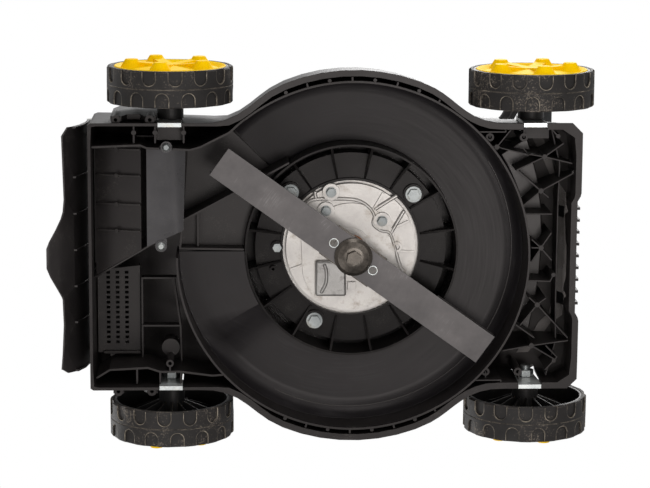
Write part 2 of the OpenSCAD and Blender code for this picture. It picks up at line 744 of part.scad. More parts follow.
module rear_flap() {
    color("#262527") at_crank() translate([flap_x, 0, flap_z]) difference() {
        union() {
            intersection() {
                translate([-2.5, 0, 0]) plate_y(2 * flap_half) flap_profile();
                flap_front_shape();
            }
            tube_y(knuckle_r, -ear_in + seat_gap, ear_in - seat_gap);
            for (y = [1.2 - flap_half, -90, -45, 0, 45, 90, flap_half - 1.2]) translate([0, y, 0])
                plate_y(2.2) polygon([[-2.6, -12], [-4.4, -30], [-10.2, -58], [-19, -78], [-14, -78],
                                      [-6, -58], [-1.4, -30], [-1.4, -12]]);
        }
        tube_y(flap_rod_d / 2 + run_gap, -flap_half - 1, flap_half + 1);
    }
}

module flap_front_shape() {
    half = flap_half;
    translate([-80, 0, 0]) rotate([90, 0, 90]) linear_extrude(100) polygon([
        [-ear_in + 0.6, 10], [ear_in - 0.6, 10], [ear_in - 0.6, -9.5], [half, -9.5], [half, -86],
        [half - 6, -93], [91, -90], [59, -91], [46, -95], [30, -100.2], [14, -104], [-2, -104],
        [-14, -101], [-28, -96], [-49, -89.5], [-64, -88], [-half + 10, -90], [-half, -83],
        [-half, -9.5], [-ear_in + 0.6, -9.5]]);
}

module flap_brackets() {
    seat = rear_inset - deck_back - flap_x - seat_gap;
    color("#262527") at_crank() translate([flap_x, 0, flap_z]) for (s = [-1, 1])
        mirror([0, s < 0 ? 1 : 0, 0]) difference() {
            union() {
                tube_y(min(6.5, seat), ear_in, ear_in + ear_t);
                translate([0, ear_in + ear_t, 0]) rotate([90, 0, 0]) linear_extrude(ear_t)
                    polygon([[0.5, 0], [seat, 0], [seat, -38], [0.5, -30]]);
            }
            tube_y(flap_rod_d / 2 + run_gap, ear_in - 1, ear_in + ear_t + 1);
        }
}

module flap_rod() {
    end = ear_in + ear_t + 13;
    color("#b9b9b6") at_crank() translate([flap_x, 0, flap_z]) {
        tube_y(flap_rod_d / 2, -end, end);
        each_side() {
            tube_y(flap_rod_d / 2 + 1.8, ear_in + ear_t + seat_gap, ear_in + ear_t + 2);
            tube_y(flap_rod_d / 2 + 1.8, end - 0.1, end + 1.6);
        }
    }
}

// Wheels, drawn along +Z from the tyre's inner face outwards
bead_r = 70.5;
web_w = [29, 32];
hub_r = 16;
rim_wall = 2.8;
cap_r = bead_r - rim_wall - seat_gap;
hump_h = 9;
lug_r = 8.6;
lug_depth = 2.4;
front_cap_turn = 30;
rear_cap_turn = 5;

module place_wheel(x, inner, left) {
    at_crank() translate([x, left ? inner : -inner, wheel_r]) rotate([left ? -90 : 90, 0, 0]) children();
}

module tyre() {
    color("#3a3634") difference() {
        rotate_extrude($fn = 128) polygon([
            [bead_r, 0.6], [bead_r + 1, 0], [wheel_r - 1.4, 0], [wheel_r, 1.6], [wheel_r, 21.2],
            [wheel_r - 0.7, 21.8], [wheel_r, 22.4], [wheel_r, tyre_w - 1.6],
            [wheel_r - 1.4, tyre_w], [bead_r + 1, tyre_w], [bead_r, tyre_w - 0.6]]);
        for (i = [0:tread_lugs - 1]) {
            rotate([0, 0, 360 * i / tread_lugs]) tread_pocket(9.5, -1);
            rotate([0, 0, 360 * (i + 0.5) / tread_lugs]) tread_pocket(tyre_w - 9.5, 1);
        }
    }
}

// A U-shaped pocket that opens towards the tyre's edge
module tread_pocket(w, way) {
    translate([wheel_r - lug_depth, 0, w]) {
        rotate([0, 90, 0]) cylinder(r = lug_r, h = 6, $fn = 32);
        block([0, -lug_r, way > 0 ? 0 : -15], [6, lug_r, way > 0 ? 15 : 0]);
    }
}

module rim(inner) {
    hub_start = plate_out_y + side_gap - inner;
    cavity_r = bead_r - rim_wall;
    color("#222122") difference() {
        union() {
            difference() {
                post(0.6, bead_r - 0.1, tyre_w - 1.2, 128);
                cylinder(r = cavity_r, h = web_w[0], $fn = 128);
                translate([0, 0, web_w[1]]) cylinder(r = cavity_r, h = 30, $fn = 128);
                for (i = [0:5]) rotate([0, 0, 60 * i + 30]) translate([44, 0, web_w[0] - 1]) rim_opening();
            }
            post(hub_start, hub_r, web_w[1] - hub_start);
            for (i = [0:11]) rotate([0, 0, 30 * i]) plate_y(2)
                polygon([[hub_r - 1, 2], [bead_r - 1, 24], [bead_r - 1, web_w[1]], [hub_r - 1, web_w[1]]]);
        }
        translate([0, 0, -40]) cylinder(d = axle_d + 2 * run_gap, h = 100);
        translate([0, 0, web_w[1] - 9]) cylinder(r = 11.5, h = 30);
    }
}

module rim_opening() {
    for (s = [-1, 1]) translate([0, 8 * s, 0]) cylinder(r = 9, h = 10, $fn = 32);
    translate([-9, -8, 0]) cube([18, 16, 10]);
}

// Dished cap with a low centre and five blunt humps
module cap(turn) {
    face = tyre_w - 1;
    color("#ffc60b") rotate([0, 0, turn]) difference() {
        union() {
            rotate_extrude($fn = 128) polygon(concat(
                [[0, face - 6], [cap_r - 3, face - 9], [cap_r, face - 9], [cap_r, face + 0.6],
                 [cap_r - 1, face + 1.4], [cap_r - 3, face + 1.2], [cap_r - 9, face - 2.4]],
                [for (i = [1:6]) [(cap_r - 9) * (1 - i / 6), face - 2.4 + 4.4 * (1 - pow(1 - i / 6, 2))]]));
            for (i = [0.5:4.5]) rotate([0, 0, 72 * i]) {
                translate([46, 0, face - 6]) cylinder(r1 = 17, r2 = 7.5, h = hump_h + 6);
                plate_y(14)
                    polygon([[0, face - 5], [46, face - 5], [46, face + hump_h - 2.4], [12, face + 3],
                             [0, face + 3]]);
            }
        }
        translate([0, 0, web_w[1] - 1]) cylinder(r = 14, h = face - web_w[1] - 3);
    }
}

// One piece of a rear or front wheel
module wheel_piece(kind, x, inner, left, turn) {
    place_wheel(x, inner, left) {
        if (kind == "tyre") tyre();
        if (kind == "rim") rim(inner);
        if (kind == "cap") cap(turn);
    }
}

module rear_wheel(kind, left) {
    wheel_piece(kind, -rear_axle, rear_track_in, left, rear_cap_turn);
}

module front_wheel(kind, left) {
    wheel_piece(kind, front_axle, front_track_in, left, front_cap_turn);
}

// Axle plates outside the deck's wall, with the stub axles through them
axle_plate_t = 5;
plate_in_y = body_half - wall_in + seat_gap;
plate_out_y = plate_in_y + axle_plate_t;
axle_plate_half = 14;
plate_top_z = slot_top - seat_gap;
nut_w = 18;

module each_axle() {
    for (i = [0, 1], s = [-1, 1])
        translate([axle_places[i], 0, wheel_r]) mirror([0, s < 0 ? 1 : 0, 0])
            children(i);
}

module axle_plate() {
    difference() {
        translate([0, plate_out_y, 0]) rotate([90, 0, 0]) linear_extrude(axle_plate_t) polygon([
            [-axle_plate_half, rim_z + 1 - wheel_r], [axle_plate_half, rim_z + 1 - wheel_r],
            [axle_plate_half, -26], [10, plate_top_z - wheel_r], [-axle_plate_half, plate_top_z - wheel_r]]);
        tube_y(axle_d / 2 + run_gap, plate_in_y - 1, plate_out_y + 1);
    }
}

module axle_plates() {
    color("#d5d6d2") at_crank() each_axle() {
        axle_plate();
        axle_plate();
    }
}

// A stub axle with its head under the hub cap and its nut inside the deck
module axle_bolt(inner) {
    head_y = inner + web_w[1] - 9 + side_gap;
    tube_y(axle_d / 2, plate_in_y - 14, head_y);
    difference() {
        translate([0, plate_in_y - seat_gap, 0]) rotate([90, 0, 0]) hex_head(nut_w, 0, 8);
        tube_y(axle_d / 2 + run_gap, plate_in_y - 20, plate_in_y + 1);
    }
    translate([0, head_y, 0]) rotate([-90, 0, 0]) hex_head(17, 0, 7);
}

module axle_bolts() {
    color("#c4c5c1") at_crank() each_axle() {
        axle_bolt(rear_track_in);
        axle_bolt(front_track_in);
    }
}

// Blade and what holds it
blade_hole_at = 29;
wing_l = 84;
adapter_h = 20;
washer_r = 23;

module at_blade() {
    at_crank() rotate([0, 0, blade_turn]) children();
}

module blade() {
    wing_w = 15;
    color("#8b8986") at_blade() difference() {
        union() {
            block([-blade_l / 2, -blade_w / 2, blade_z], [blade_l / 2, blade_w / 2, blade_z + blade_t]);
            for (s = [0, 180]) rotate([0, 0, s])
                translate([blade_l / 2 - wing_l, -blade_w / 2, blade_z]) rotate([90, 0, 90])
                    linear_extrude(wing_l) polygon([
                        [0, 0], [wing_w, 0], [wing_w, blade_t], [blade_t, blade_t + 2],
                        [2, wing_rise], [0, wing_rise]]);
        }
        post(blade_z - 1, 5.2, 8);
        for (s = [-1, 1]) translate([s * blade_hole_at, 0, blade_z - 1]) cylinder(r = 5, h = 8);
    }
}

module blade_adapter() {
    top = blade_z + blade_t + adapter_h;
    color("#55524f") at_blade() difference() {
        union() {
            post(blade_z + blade_t, 21, 5);
            post(blade_z + blade_t, 17, adapter_h);
            for (s = [-1, 1]) translate([s * 17, 0, blade_z + blade_t]) cylinder(r = 3.4, h = 8, $fn = 32);
        }
        post(blade_z + blade_t + 3, shaft_r - 1.4 + run_gap, top);
        post(blade_z, 5.2, 20);
    }
}

module blade_washer() {
    color("#3a352c") at_blade() difference() {
        rotate_extrude() polygon([
            [5.2, blade_z - 8], [11, blade_z - 8], [19, blade_z - 6.4], [washer_r, blade_z - 3],
            [washer_r, blade_z], [5.2, blade_z]]);
        translate([0, 0, blade_z - 9]) ring_z(14, 13, 0, 1.4);
    }
}

module blade_bolt() {
    head = 7;
    color("#6d675e") at_blade() {
        hex_head(16, blade_z - 8 - head, head);
        post(blade_z - 8.01, 5, 60);
    }
}

// Crankshaft, with its web and pin inside the crankcase
pin_r = stroke / 2;
shaft_top = 286;

module crankshaft() {
    web_z = cylinder_z - 26;
    hub_z = flywheel_z[0] - 2;
    step_z = blade_z + blade_t + adapter_h + 2;
    color("#9a9a98") at_crank() difference() {
        union() {
            post(blade_z + blade_t + 3 + side_gap, shaft_r - 1.4, 40);
            post(step_z, shaft_r, web_z - step_z);
            for (z = [web_z, web_z + 38]) translate([0, 0, z]) intersection() {
                cylinder(r = 37, h = 14);
                block([-37, -26, 0], [37, 26, 14]);
            }
            translate([pin_r, 0, web_z]) cylinder(r = 11, h = 52);
            post(web_z + 50, shaft_r, hub_z - seat_gap - web_z - 50);
            post(web_z + 60, shaft_r - 2.5, shaft_top - web_z - 60);
        }
        post(blade_z, 5.1, 65);
    }
}

seal_r = 18;
seal_z = [87, 93];

module oil_seal() {
    color("#8a4b22") at_crank() ring_z(seal_r - seat_gap / 3, shaft_r + run_gap, seal_z[0], seal_z[1]);
}

// Sump, the cast bottom of the engine that shows through the deck
sump_face = 93;
sump_r = 111;
sump_top = 116;
sump_bolts = [[-25, -70], [-31, -47], [38, -34]];
spare_boss = [57, -1];
case_r = 90;

module sump_boss(p, r, low) {
    translate([p.x, p.y, low]) cylinder(r = r, h = sump_face - low + 3, $fn = 48);
}

module engine_sump() {
    color("#c9c5bd") at_crank() difference() {
        union() {
            post(seat_z, sump_r, sump_top - seat_z, 128);
            post(sump_face + 3, seat_hole_r - 4, 12, 128);
            translate([0, 0, sump_face]) linear_extrude(4) polygon(concat(
                arc([0, 0], 56, -125, 0, 16), arc([-4, 22], 56, 10, 172, 20), [[-62, -24]]));
            sump_boss([0, 0], 25, sump_face - 2);
            sump_boss([0, 0], 21, sump_face - 6);
            for (p = sump_bolts) sump_boss(p, 10.5, sump_face - 2);
            sump_boss(spare_boss, 6.5, sump_face - 1);
            block([-43.5, 16, sump_face - 8], [-6, 58.5, sump_face + 4]);
            block([-4, 42, sump_face - 4], [6, 52, sump_face + 1]);
            for (a = [-60, -25, 4, 35, 75, 105, 160, -160])
                rotate([0, 0, a]) block([50, -1.5, sump_face + 0.5], [seat_hole_r - 5, 1.5, sump_face + 4]);
            at_bolts(seat_z) cylinder(r = 9, h = sump_top - seat_z + 2);
        }
        post(60, shaft_r + 1.2, 100);
        post(60, seal_r, seal_z[1] - 60);
        post(sump_face + 8, 70, 40);
        at_bolts(80) cylinder(d = engine_bolt_d + 0.4, h = 60);
        for (p = concat(sump_bolts, [spare_boss]))
            translate([p.x, p.y, 60]) cylinder(r = 3.2, h = 36, $fn = 32);
    }
}

// Screws of the grey plate, engine bolts with their washers, the sump's bolts and one small nut
module mount_bolt() {
    head_z = lip_z - 1;
    hex_head(13, head_z - 8, 6.4);
    post(head_z - 1.6 - seat_gap, 10, 1.6);
    translate([0, 0, head_z - 2]) cylinder(d = engine_bolt_d, h = sump_top - head_z + 1);
}

module bolts() {
    color("#d9d9d5") at_crank() {
        for (p = [screw_right, screw_left]) translate([p.x, p.y, 0]) {
            rotate_extrude() polygon([[0, pad_z - 3.6], [3, pad_z - 3.6], [5, pad_z - 1.6],
                                      [5, pad_z - seat_gap], [0, pad_z - seat_gap]]);
            post(pad_z - 1, 2, 18, 24);
        }
        at_bolts(0) mount_bolt();
        for (p = sump_bolts) translate([p.x, p.y, 0]) {
            hex_head(10, sump_face - 8, 5.6);
            post(sump_face - 2.4 - seat_gap, 6.6, 0.4 + seat_gap, 32);
            post(sump_face - 3, 3, 5.6, 32);
        }
        translate([-91, -1, 0]) {
            hex_head(10, lip_z - 7.6, 5.4);
            post(lip_z - 8, 3, 17, 32);
        }
    }
}

// Crankcase
case_top = cylinder_z + 44;
neck_top = 178;
dip_place = [52, -96];
tank_seat = [176, 196];
cylinder_r = bore_d / 2 + 7;
cylinder_x = [62, 152];

module crankcase() {
    color("#bdbab3") at_crank() difference() {
        union() {
            post(sump_top + seat_gap, case_r, case_top - sump_top, 96);
            post(case_top - 1, 34, 14);
            block([40, -46, sump_top + seat_gap], [88, 46, case_top]);
            translate([dip_place.x, dip_place.y, neck_top - 34]) cylinder(r = 14, h = 34);
            block([40, -98, neck_top - 34], [62, -70, neck_top - 10]);
            block([-106, -20, tank_seat[0]], [-70, 20, tank_seat[1]]);
            for (a = [70, 125, 235, 290]) rotate([0, 0, a])
                block([case_r - 4, -8, case_top - 12], [housing_r - 2.5 - 2 * seat_gap, 8, case_top]);
        }
        post(sump_top - 1, 70, case_top - sump_top - 8);
        post(sump_top, shaft_r + run_gap, 140);
        translate([0, 0, cylinder_z]) tube_x(cylinder_r + seat_gap, 30, 100);
        translate([dip_place.x, dip_place.y, neck_top - 26]) cylinder(r = 9 + run_gap, h = 60);
    }
}

// Cylinder with its cooling fins
module cylinder_block() {
    color("#b5b3ad") at_crank() translate([0, 0, cylinder_z]) difference() {
        union() {
            tube_x(cylinder_r, cylinder_x[0], cylinder_x[1]);
            for (i = [0:6]) translate([96 + 8.6 * i, 0, 0]) fin_plate(46, 40, 2.6);
            block([146, -40, -38], [cylinder_x[1], 40, 38]);
        }
        tube_x(bore_d / 2, cylinder_x[0] - 1, cylinder_x[1] + 1);
    }
}

module fin_plate(half_y, half_z, t) {
    rotate([90, 0, 90]) linear_extrude(t) polygon([
        [-half_y, -half_z + 12], [-half_y + 12, -half_z], [half_y - 12, -half_z],
        [half_y, -half_z + 12], [half_y, half_z - 12], [half_y - 12, half_z],
        [-half_y + 12, half_z], [-half_y, half_z - 12]]);
}

head_x = [cylinder_x[1] + seat_gap, 184];
plug_x = 172;
port_z = cylinder_z - 20;

module cylinder_head() {
    color("#b9b6b0") at_crank() translate([0, 0, cylinder_z]) difference() {
        union() {
            block([head_x[0], -42, -38], [head_x[1], 42, 38]);
            for (i = [0:2]) translate([head_x[0] + 4 + 9 * i, 0, 0]) fin_plate(47, 42, 2.6);
            block([head_x[1] - 1, -33, -30], [head_x[1] + 17, 33, 30]);
            block([head_x[1] + 4, -36, -33], [head_x[1] + 7, 36, 33]);
            translate([168, 0, -20]) tube_y(13, -56, 56);
        }
        tube_x(24, head_x[0] - 1, head_x[0] + 6);
        translate([168, 0, -20]) tube_y(8, -60, -30);
        translate([168, 0, -20]) tube_y(8, 30, 60);
        translate([plug_x, 0, 22]) cylinder(r = 7 + run_gap, h = 40);
    }
}

module spark_plug() {
    base = cylinder_z + 42;
    color("#e9e6df") at_crank() translate([plug_x, 0, 0]) {
        post(base - 18, 7, 18.2);
        hex_head(20, base + 0.2, 8);
        post(base + 8, 6.2, 18);
        post(base + 26, 2.6, 7, 32);
    }
}

// Piston at the top of its stroke
piston_h = 44;

module piston() {
    crown = cylinder_x[1] - 1;
    color("#c2c2c0") at_crank() translate([0, 0, cylinder_z]) difference() {
        union() {
            tube_x(bore_d / 2 - run_gap, crown - 6, crown);
            tube_x(bore_d / 2 - 1.6, crown - 12, crown);
            tube_x(bore_d / 2 - run_gap, crown - piston_h, crown - 11);
        }
        tube_x(bore_d / 2 - 5, crown - piston_h - 1, crown - 7);
        translate([crown - 24, 0, 0]) tube_y(8, -40, 40);
    }
    color("#c2c2c0") at_crank() translate([crown - 24, 0, cylinder_z]) tube_y(8, -26, 26);
}

// Flywheel with its fan
flywheel_z = [case_top + 16, case_top + 32];
fan_blades = 16;

module flywheel() {
    color("#77777a") at_blade() difference() {
        union() {
            ring_z(flywheel_r, 56, flywheel_z[0], flywheel_z[1]);
            ring_z(58, 15, flywheel_z[0] + 4, flywheel_z[1] - 2);
            ring_z(20, 9, flywheel_z[0] - 2, flywheel_z[1] + 8);
            for (i = [0:fan_blades - 1]) rotate([0, 0, 360 * i / fan_blades])
                translate([58, 0, flywheel_z[1] - 1]) rotate([0, 0, 24]) block([0, -1.2, 0], [20, 1.2, 18]);
        }
        post(200, shaft_r - 2.5 + run_gap, 80);
        rotate([0, 0, 40]) translate([flywheel_r - 6, -16, flywheel_z[0] + 3]) cube([10, 32, 9]);
    }
}

module ignition_coil() {
    color("#4a4643") at_crank() rotate([0, 0, 205]) {
        block([flywheel_r + 1, -22, flywheel_z[0] + 2], [flywheel_r + 10, -14, flywheel_z[1] - 4]);
        block([flywheel_r + 1, 14, flywheel_z[0] + 2], [flywheel_r + 10, 22, flywheel_z[1] - 4]);
        block([flywheel_r + 5, -22, flywheel_z[0] + 2], [flywheel_r + 11, 22, flywheel_z[1] - 4]);
        block([flywheel_r + 3, -12, flywheel_z[0] - 2], [flywheel_r + 13, 12, flywheel_z[1] + 1]);
        block([flywheel_r + 2, 14, case_top + seat_gap], [flywheel_r + 8, 21, flywheel_z[0] + 3]);
    }
}

// Blower housing over the flywheel, with a duct over the cylinder
housing_low = case_top - 14;
intake_r = 56;
duct_half = 52;
duct_end = 206;
duct_low = cylinder_z + 10;
duct_top = cylinder_z + 76;

module blower_housing() {
    roof = case_top + 4;
    color("#242325") at_crank() difference() {
        union() {
            rotate_extrude($fn = 128) polygon(concat(
                [[intake_r, housing_low], [housing_r, housing_low]],
                arc([housing_r - 22, housing_top - 22], 22, 0, 90, 8),
                [[intake_r + 6, housing_top], [intake_r + 6, housing_top + 3],
                 [intake_r, housing_top + 3]]));
            block([50, -duct_half, roof], [duct_end - 14, duct_half, duct_top]);
            block([96, -duct_half, duct_low], [duct_end, duct_half, duct_top - 16]);
            translate([-housing_r - 6, 0, grip_z]) tube_x(9, 0, 16);
        }
        post(housing_low - 1, housing_r - 2.5, housing_top - housing_low - 20, 128);
        post(housing_low, housing_r - 18, housing_top - housing_low - 2.5, 128);
        block([20, -duct_half + 2.5, roof - 1], [duct_end - 16.5, duct_half - 2.5, duct_top - 2.5]);
        block([93, -duct_half + 2.5, duct_low - 1], [duct_end - 2.5, duct_half - 2.5, duct_top - 18.5]);
        translate([plug_x, 0, cylinder_z + 30]) cylinder(r = 13, h = 80);
        translate([-housing_r - 10, 0, grip_z]) tube_x(3.2, 0, 40);
    }
}

// Recoil starter cover on the housing, with its intake slots
module starter_cover() {
    low = housing_top + 3 + seat_gap;
    color("#ffc60b") at_crank() difference() {
        rotate_extrude($fn = 128) polygon(concat(
            [[intake_r + 8, low]], arc([intake_r - 6, low + 8], 14, 0, 90, 6), [[0, low + 24]], [[0, low]]));
        post(low - 1, intake_r + 1, 6);
        post(low - 1, 46, 18);
        for (i = [0:17]) rotate([0, 0, 20 * i]) block([26, -2.4, low - 2], [48, 2.4, low + 40]);
    }
    color("#ffc60b") at_crank() post(pulley_z - 1, 6 - run_gap, low + 19 - pulley_z);
}

pulley_r = 30;
pulley_z = 292;

module starter_pulley() {
    z = pulley_z;
    color("#e4e2dc") at_crank() {
        difference() {
            union() {
                post(z, pulley_r + 3, 2.4);
                post(z + 2.2, pulley_r, 6);
                post(z + 8, pulley_r + 3, 2.4);
            }
            post(z - 1, 16, 8);
            post(z - 1, 6, 20);
        }
    }
}

// Pull grip of the starter, seated in its guide at the rear of the housing
grip_x = -housing_r - 6 - seat_gap;
grip_z = 264.5;

module starter_grip() {
    color("#1d1c1e") at_crank() translate([grip_x, 0, grip_z]) {
        tube_x(7, -14, 0);
        translate([-14, 0, 0]) {
            tube_y(8, -30, 30);
            for (s = [-1, 1]) translate([0, 30 * s, 0]) sphere(r = 8);
        }
    }
}

// Muffler with its guard, on the left of the head
module muffler() {
    low = 145;
    color("#6e6a66") at_crank() difference() {
        union() {
            soft_block([114, 76, low], [200, 116, low + 70], 4);
            translate([168, 0, port_z]) tube_y(12, 56 + seat_gap, 78);
            block([152, 56 + seat_gap, port_z - 17], [184, 60, port_z + 17]);
            block([110, 121.5, low - 2], [204, 123.5, low + 72]);
            for (x = [122, 192], z = [low + 8, low + 62]) translate([x, 0, z]) tube_y(3, 112, 122);
        }
        for (i = [0:6]) block([120 + 11 * i, 120, low + 6], [124.5 + 11 * i, 126, low + 64]);
        translate([168, 0, port_z]) tube_y(8, 50, 78);
    }
}

module carburettor() {
    color("#a9a7a1") at_crank() difference() {
        union() {
            translate([168, 0, port_z]) tube_y(14, -88, -56 - seat_gap);
            translate([168, -72, deck_top + 5]) cylinder(r = 15, h = 18);
            block([154, -88, port_z - 12], [182, -58, port_z + 12]);
        }
        translate([168, 0, port_z]) tube_y(8, -90, -50);
    }
}

filter_y = [-146, -88.3];
filter_z = [deck_top + 6, deck_top + 84];
bulb_place = [126, -120];
bulb_r = 11;

module air_filter() {
    low = filter_z[0];
    top = filter_z[1];
    color("#2a292b") at_crank() difference() {
        union() {
            block([94, filter_y[0] + 6, low + 2], [200, filter_y[1], top - 2]);
            block([100, filter_y[0], low + 6], [194, filter_y[1] - 5, top - 8]);
            block([90, filter_y[1] - 12, low], [204, filter_y[1] - 8, top]);
        }
        translate([168, 0, port_z]) tube_y(8, -96, -80);
        for (i = [0:4])
            translate([106 + 17 * i, filter_y[0], 0]) block([0, -1, low + 20], [10, 2, top - 22]);
        translate([bulb_place.x, bulb_place.y, top - 30]) cylinder(r = bulb_r + run_gap, h = 60);
        block([108, filter_y[0] + 10, low + 8], [188, filter_y[1] - 16, top - 34]);
    }
}

module primer_bulb() {
    color("#b3231c") at_crank() translate([bulb_place.x, bulb_place.y, filter_z[1] - 30 + 8]) {
        cylinder(r = bulb_r, h = 24);
        translate([0, 0, 24]) rotate_extrude() polygon(concat([[0, -1]], arc([0, 0], bulb_r, 0, 90, 8)));
    }
}

// Fuel tank behind the blower housing
tank_z = [154, 236];
tank_front = -106;
cap_place = [-152, 48];

module fuel_tank() {
    color("#e8e5dc") at_crank() difference() {
        union() {
            soft_block([tank_front - tank_l, -tank_half, tank_z[0]],
                       [tank_front + 40, tank_half, tank_z[1]], 8);
            translate([cap_place.x, cap_place.y, tank_z[1] - 1]) cylinder(r = 20, h = 7);
        }
        post(100, housing_r + 1.2, 200, 128);
        block([-107, -21, tank_seat[0] - 1], [-60, 21, tank_seat[1] + seat_gap]);
        block([tank_front - tank_l + 11, -tank_half + 11, tank_z[0] + 3],
              [tank_front - 6, tank_half - 11, tank_z[1] - 3]);
        translate([cap_place.x, cap_place.y, tank_z[1] - 8]) cylinder(r = 15, h = 30);
    }
}

module fuel_cap() {
    low = tank_z[1] + 6 + seat_gap;
    color("#1f1e20") at_crank() translate([cap_place.x, cap_place.y, low]) difference() {
        union() {
            cylinder(r = 24, h = 9);
            post(-7, 15 - run_gap, 8);
            block([-20, -3, 8], [20, 3, 13.2]);
        }
        for (i = [0:17]) rotate([0, 0, 20 * i]) translate([25, 0, -1]) cylinder(r = 2, h = 20, $fn = 24);
    }
}

module dipstick() {
    color("#ffc60b") at_crank() translate([dip_place.x, dip_place.y, 0]) {
        post(neck_top - 14, 9, 16);
        post(neck_top + seat_gap, 15, 12);
        translate([0, 0, neck_top + 10]) block([-14, -2.5, 0], [14, 2.5, 9]);
        post(neck_top - 25.5, 2, 14, 24);
    }
}

// Handle, drawn in the plane of the folded handle: x runs along a leg from its pivot
module in_fold() {
    at_crank() translate([-pivot_back, 0, pivot_z]) rotate([0, -fold_angle, 0]) children();
}

module rod(p, q, r) {
    v = q - p;
    translate(p) rotate([0, acos(v.z / norm(v)), atan2(v.y, v.x)]) cylinder(r = r, h = norm(v), $fn = 48);
}

module bent_rod(points, r) {
    for (i = [0:len(points) - 2]) rod(points[i], points[i + 1], r);
    for (p = points) translate(p) sphere(r = r, $fn = 48);
}

ear_y = [body_half - 6.8, body_half + 0.6];
pivot_bolt_d = 8;
bracket_in = ear_y[1] + seat_gap;
bracket_out = bracket_in + 6;
boss_x = [-20.6, 20];
boss_mid = body_half + 3.2;
boss_low = rim_z + rim_h + 2;
boss_hole_r = 2.2;
boss_hole_l = 24;

module handle_bracket() {
    translate([-pivot_back, 0, 0]) difference() {
        union() {
            translate([0, bracket_out, 0]) rotate([90, 0, 0]) linear_extrude(6) polygon(concat(
                [[-27, boss_low + 6], [-14, boss_low + 6], [-8, 58], [8, 58],
                 [14, boss_low + 6], [27, boss_low + 6], [27, 118]],
                arc([0, pivot_z], 14, 0, 180, 12), [[-27, 118]]));
            for (x = boss_x) translate([x, boss_mid, boss_low]) cylinder(r = 5.6, h = 40, $fn = 32);
            block([-22, body_half - rear_inset, 92], [22, bracket_in + 1, 116]);
        }
        block([-40, body_half - 20, 0], [40, body_half - rear_inset + seat_gap, 200]);
        translate([0, 0, pivot_z]) tube_y(pivot_bolt_d / 2 + run_gap, bracket_in - 10, bracket_out + 10);
        for (x = boss_x)
            translate([x, boss_mid, boss_low - 1]) cylinder(r = boss_hole_r, h = boss_hole_l + 1);
    }
}

module handle_brackets() {
    color("#242325") at_crank() each_side() handle_bracket();
}

module pivot_bolts() {
    color("#1f1e20") at_crank() each_side()
        translate([-pivot_back, 0, pivot_z]) {
            tube_y(pivot_bolt_d / 2, ear_y[0] - 3, bracket_out + 11);
            tube_y(8, ear_y[0] - 5, ear_y[0] - seat_gap);
            tube_y(8, bracket_out + seat_gap, bracket_out + 2);
            translate([0, bracket_out + 2, 0]) rotate([-90, 0, 0]) hex_head(13, -0.5, 8);
        }
}

module star_knob(r, h) {
    cylinder(r = r - 2.5, h = h, $fn = 48);
    for (i = [0:4]) rotate([0, 0, 72 * i]) translate([r - 3.4, 0, 0]) cylinder(r = 3.4, h = h, $fn = 24);
}

bend_in = 27;
bend_out = 78;
collar_l = 24;
slider_end = 92;

module handle_leg() {
    mid_y = ear_y[1] - leg_d / 2;
    difference() {
        union() {
            tube_y(13, ear_y[0], ear_y[1]);
            block([0, ear_y[0], -leg_d / 2], [bend_in, ear_y[1], leg_d / 2]);
            bent_rod([[bend_in, mid_y, 0], [bend_out, leg_y, 0]], leg_d / 2);
            rod([bend_out, leg_y, 0], [leg_l, leg_y, 0], leg_d / 2);
            rod([leg_l - collar_l, leg_y, 0], [leg_l + 2, leg_y, 0], leg_d / 2 + 3);
            translate([leg_l - collar_l / 2, leg_y, 0]) block([-7, -7, 0], [7, 7, leg_d / 2 + 7]);
        }
        tube_y(pivot_bolt_d / 2 + run_gap, ear_y[0] - 1, ear_y[1] + 1);
        rod([slider_end - 8, leg_y, 0], [leg_l + 4, leg_y, 0], slider_d / 2 + run_gap);
        translate([leg_l - collar_l / 2, leg_y, 0]) cylinder(r = 3 + run_gap, h = 30, $fn = 32);
    }
}

module handle_legs() {
    color("#262527") in_fold() each_side() handle_leg();
}

// Star knob whose screw presses on the sliding tube
module clamp_knob() {
    color("#ffc60b") translate([leg_l - collar_l / 2, leg_y, leg_d / 2]) {
        post(-1.4, 3, 12, 32);
        translate([0, 0, 7 + seat_gap]) star_knob(12, 9);
    }
}

module left_clamp_knob() { in_fold() clamp_knob(); }
module right_clamp_knob() { in_fold() mirror([0, 1, 0]) clamp_knob(); }

flare_start = leg_l + 32;
flare_end = leg_l + 58;
bar_u = leg_l + 92;
bail_u = leg_l + 62;
bail_z = 14;
bail_wire = 4;
bail_y = grip_half - slider_d / 2 - 6;
corner_l = 14;

module upper_handle() {
    g = grip_half;
    side = [[slider_end, leg_y, 0], [flare_start, leg_y, 0], [flare_end, g, 0], [bar_u, g, 0]];
    color("#262527") in_fold() {
        tube(concat(side, [for (i = [3:-1:0]) [side[i].x, -side[i].y, 0]]), slider_d / 2, corner_l, 40);
        each_side() difference() {
            union() {
                translate([bail_u, 0, bail_z]) tube_y(8, bail_y + 1.2, bail_y + 5.2);
                block([bail_u - 6, bail_y + 1.2, 0], [bail_u + 6, bail_y + 5.2, bail_z]);
                block([bail_u - 6, bail_y + 3, -3], [bail_u + 6, g, 3]);
            }
            translate([bail_u, 0, bail_z]) tube_y(bail_wire + run_gap, bail_y - 6, bail_y + 9);
        }
    }
}

foam_r = 12.5;

module handle_grip() {
    end = grip_half - corner_l - 4;
    color("#1b1a1c") in_fold() difference() {
        translate([bar_u, 0, 0]) tube_y(foam_r, -end, end);
        translate([bar_u, 0, 0]) tube_y(slider_d / 2 + seat_gap / 3, -end - 1, end + 1);
    }
}

bail_reach = 33;
bail_open = 48;

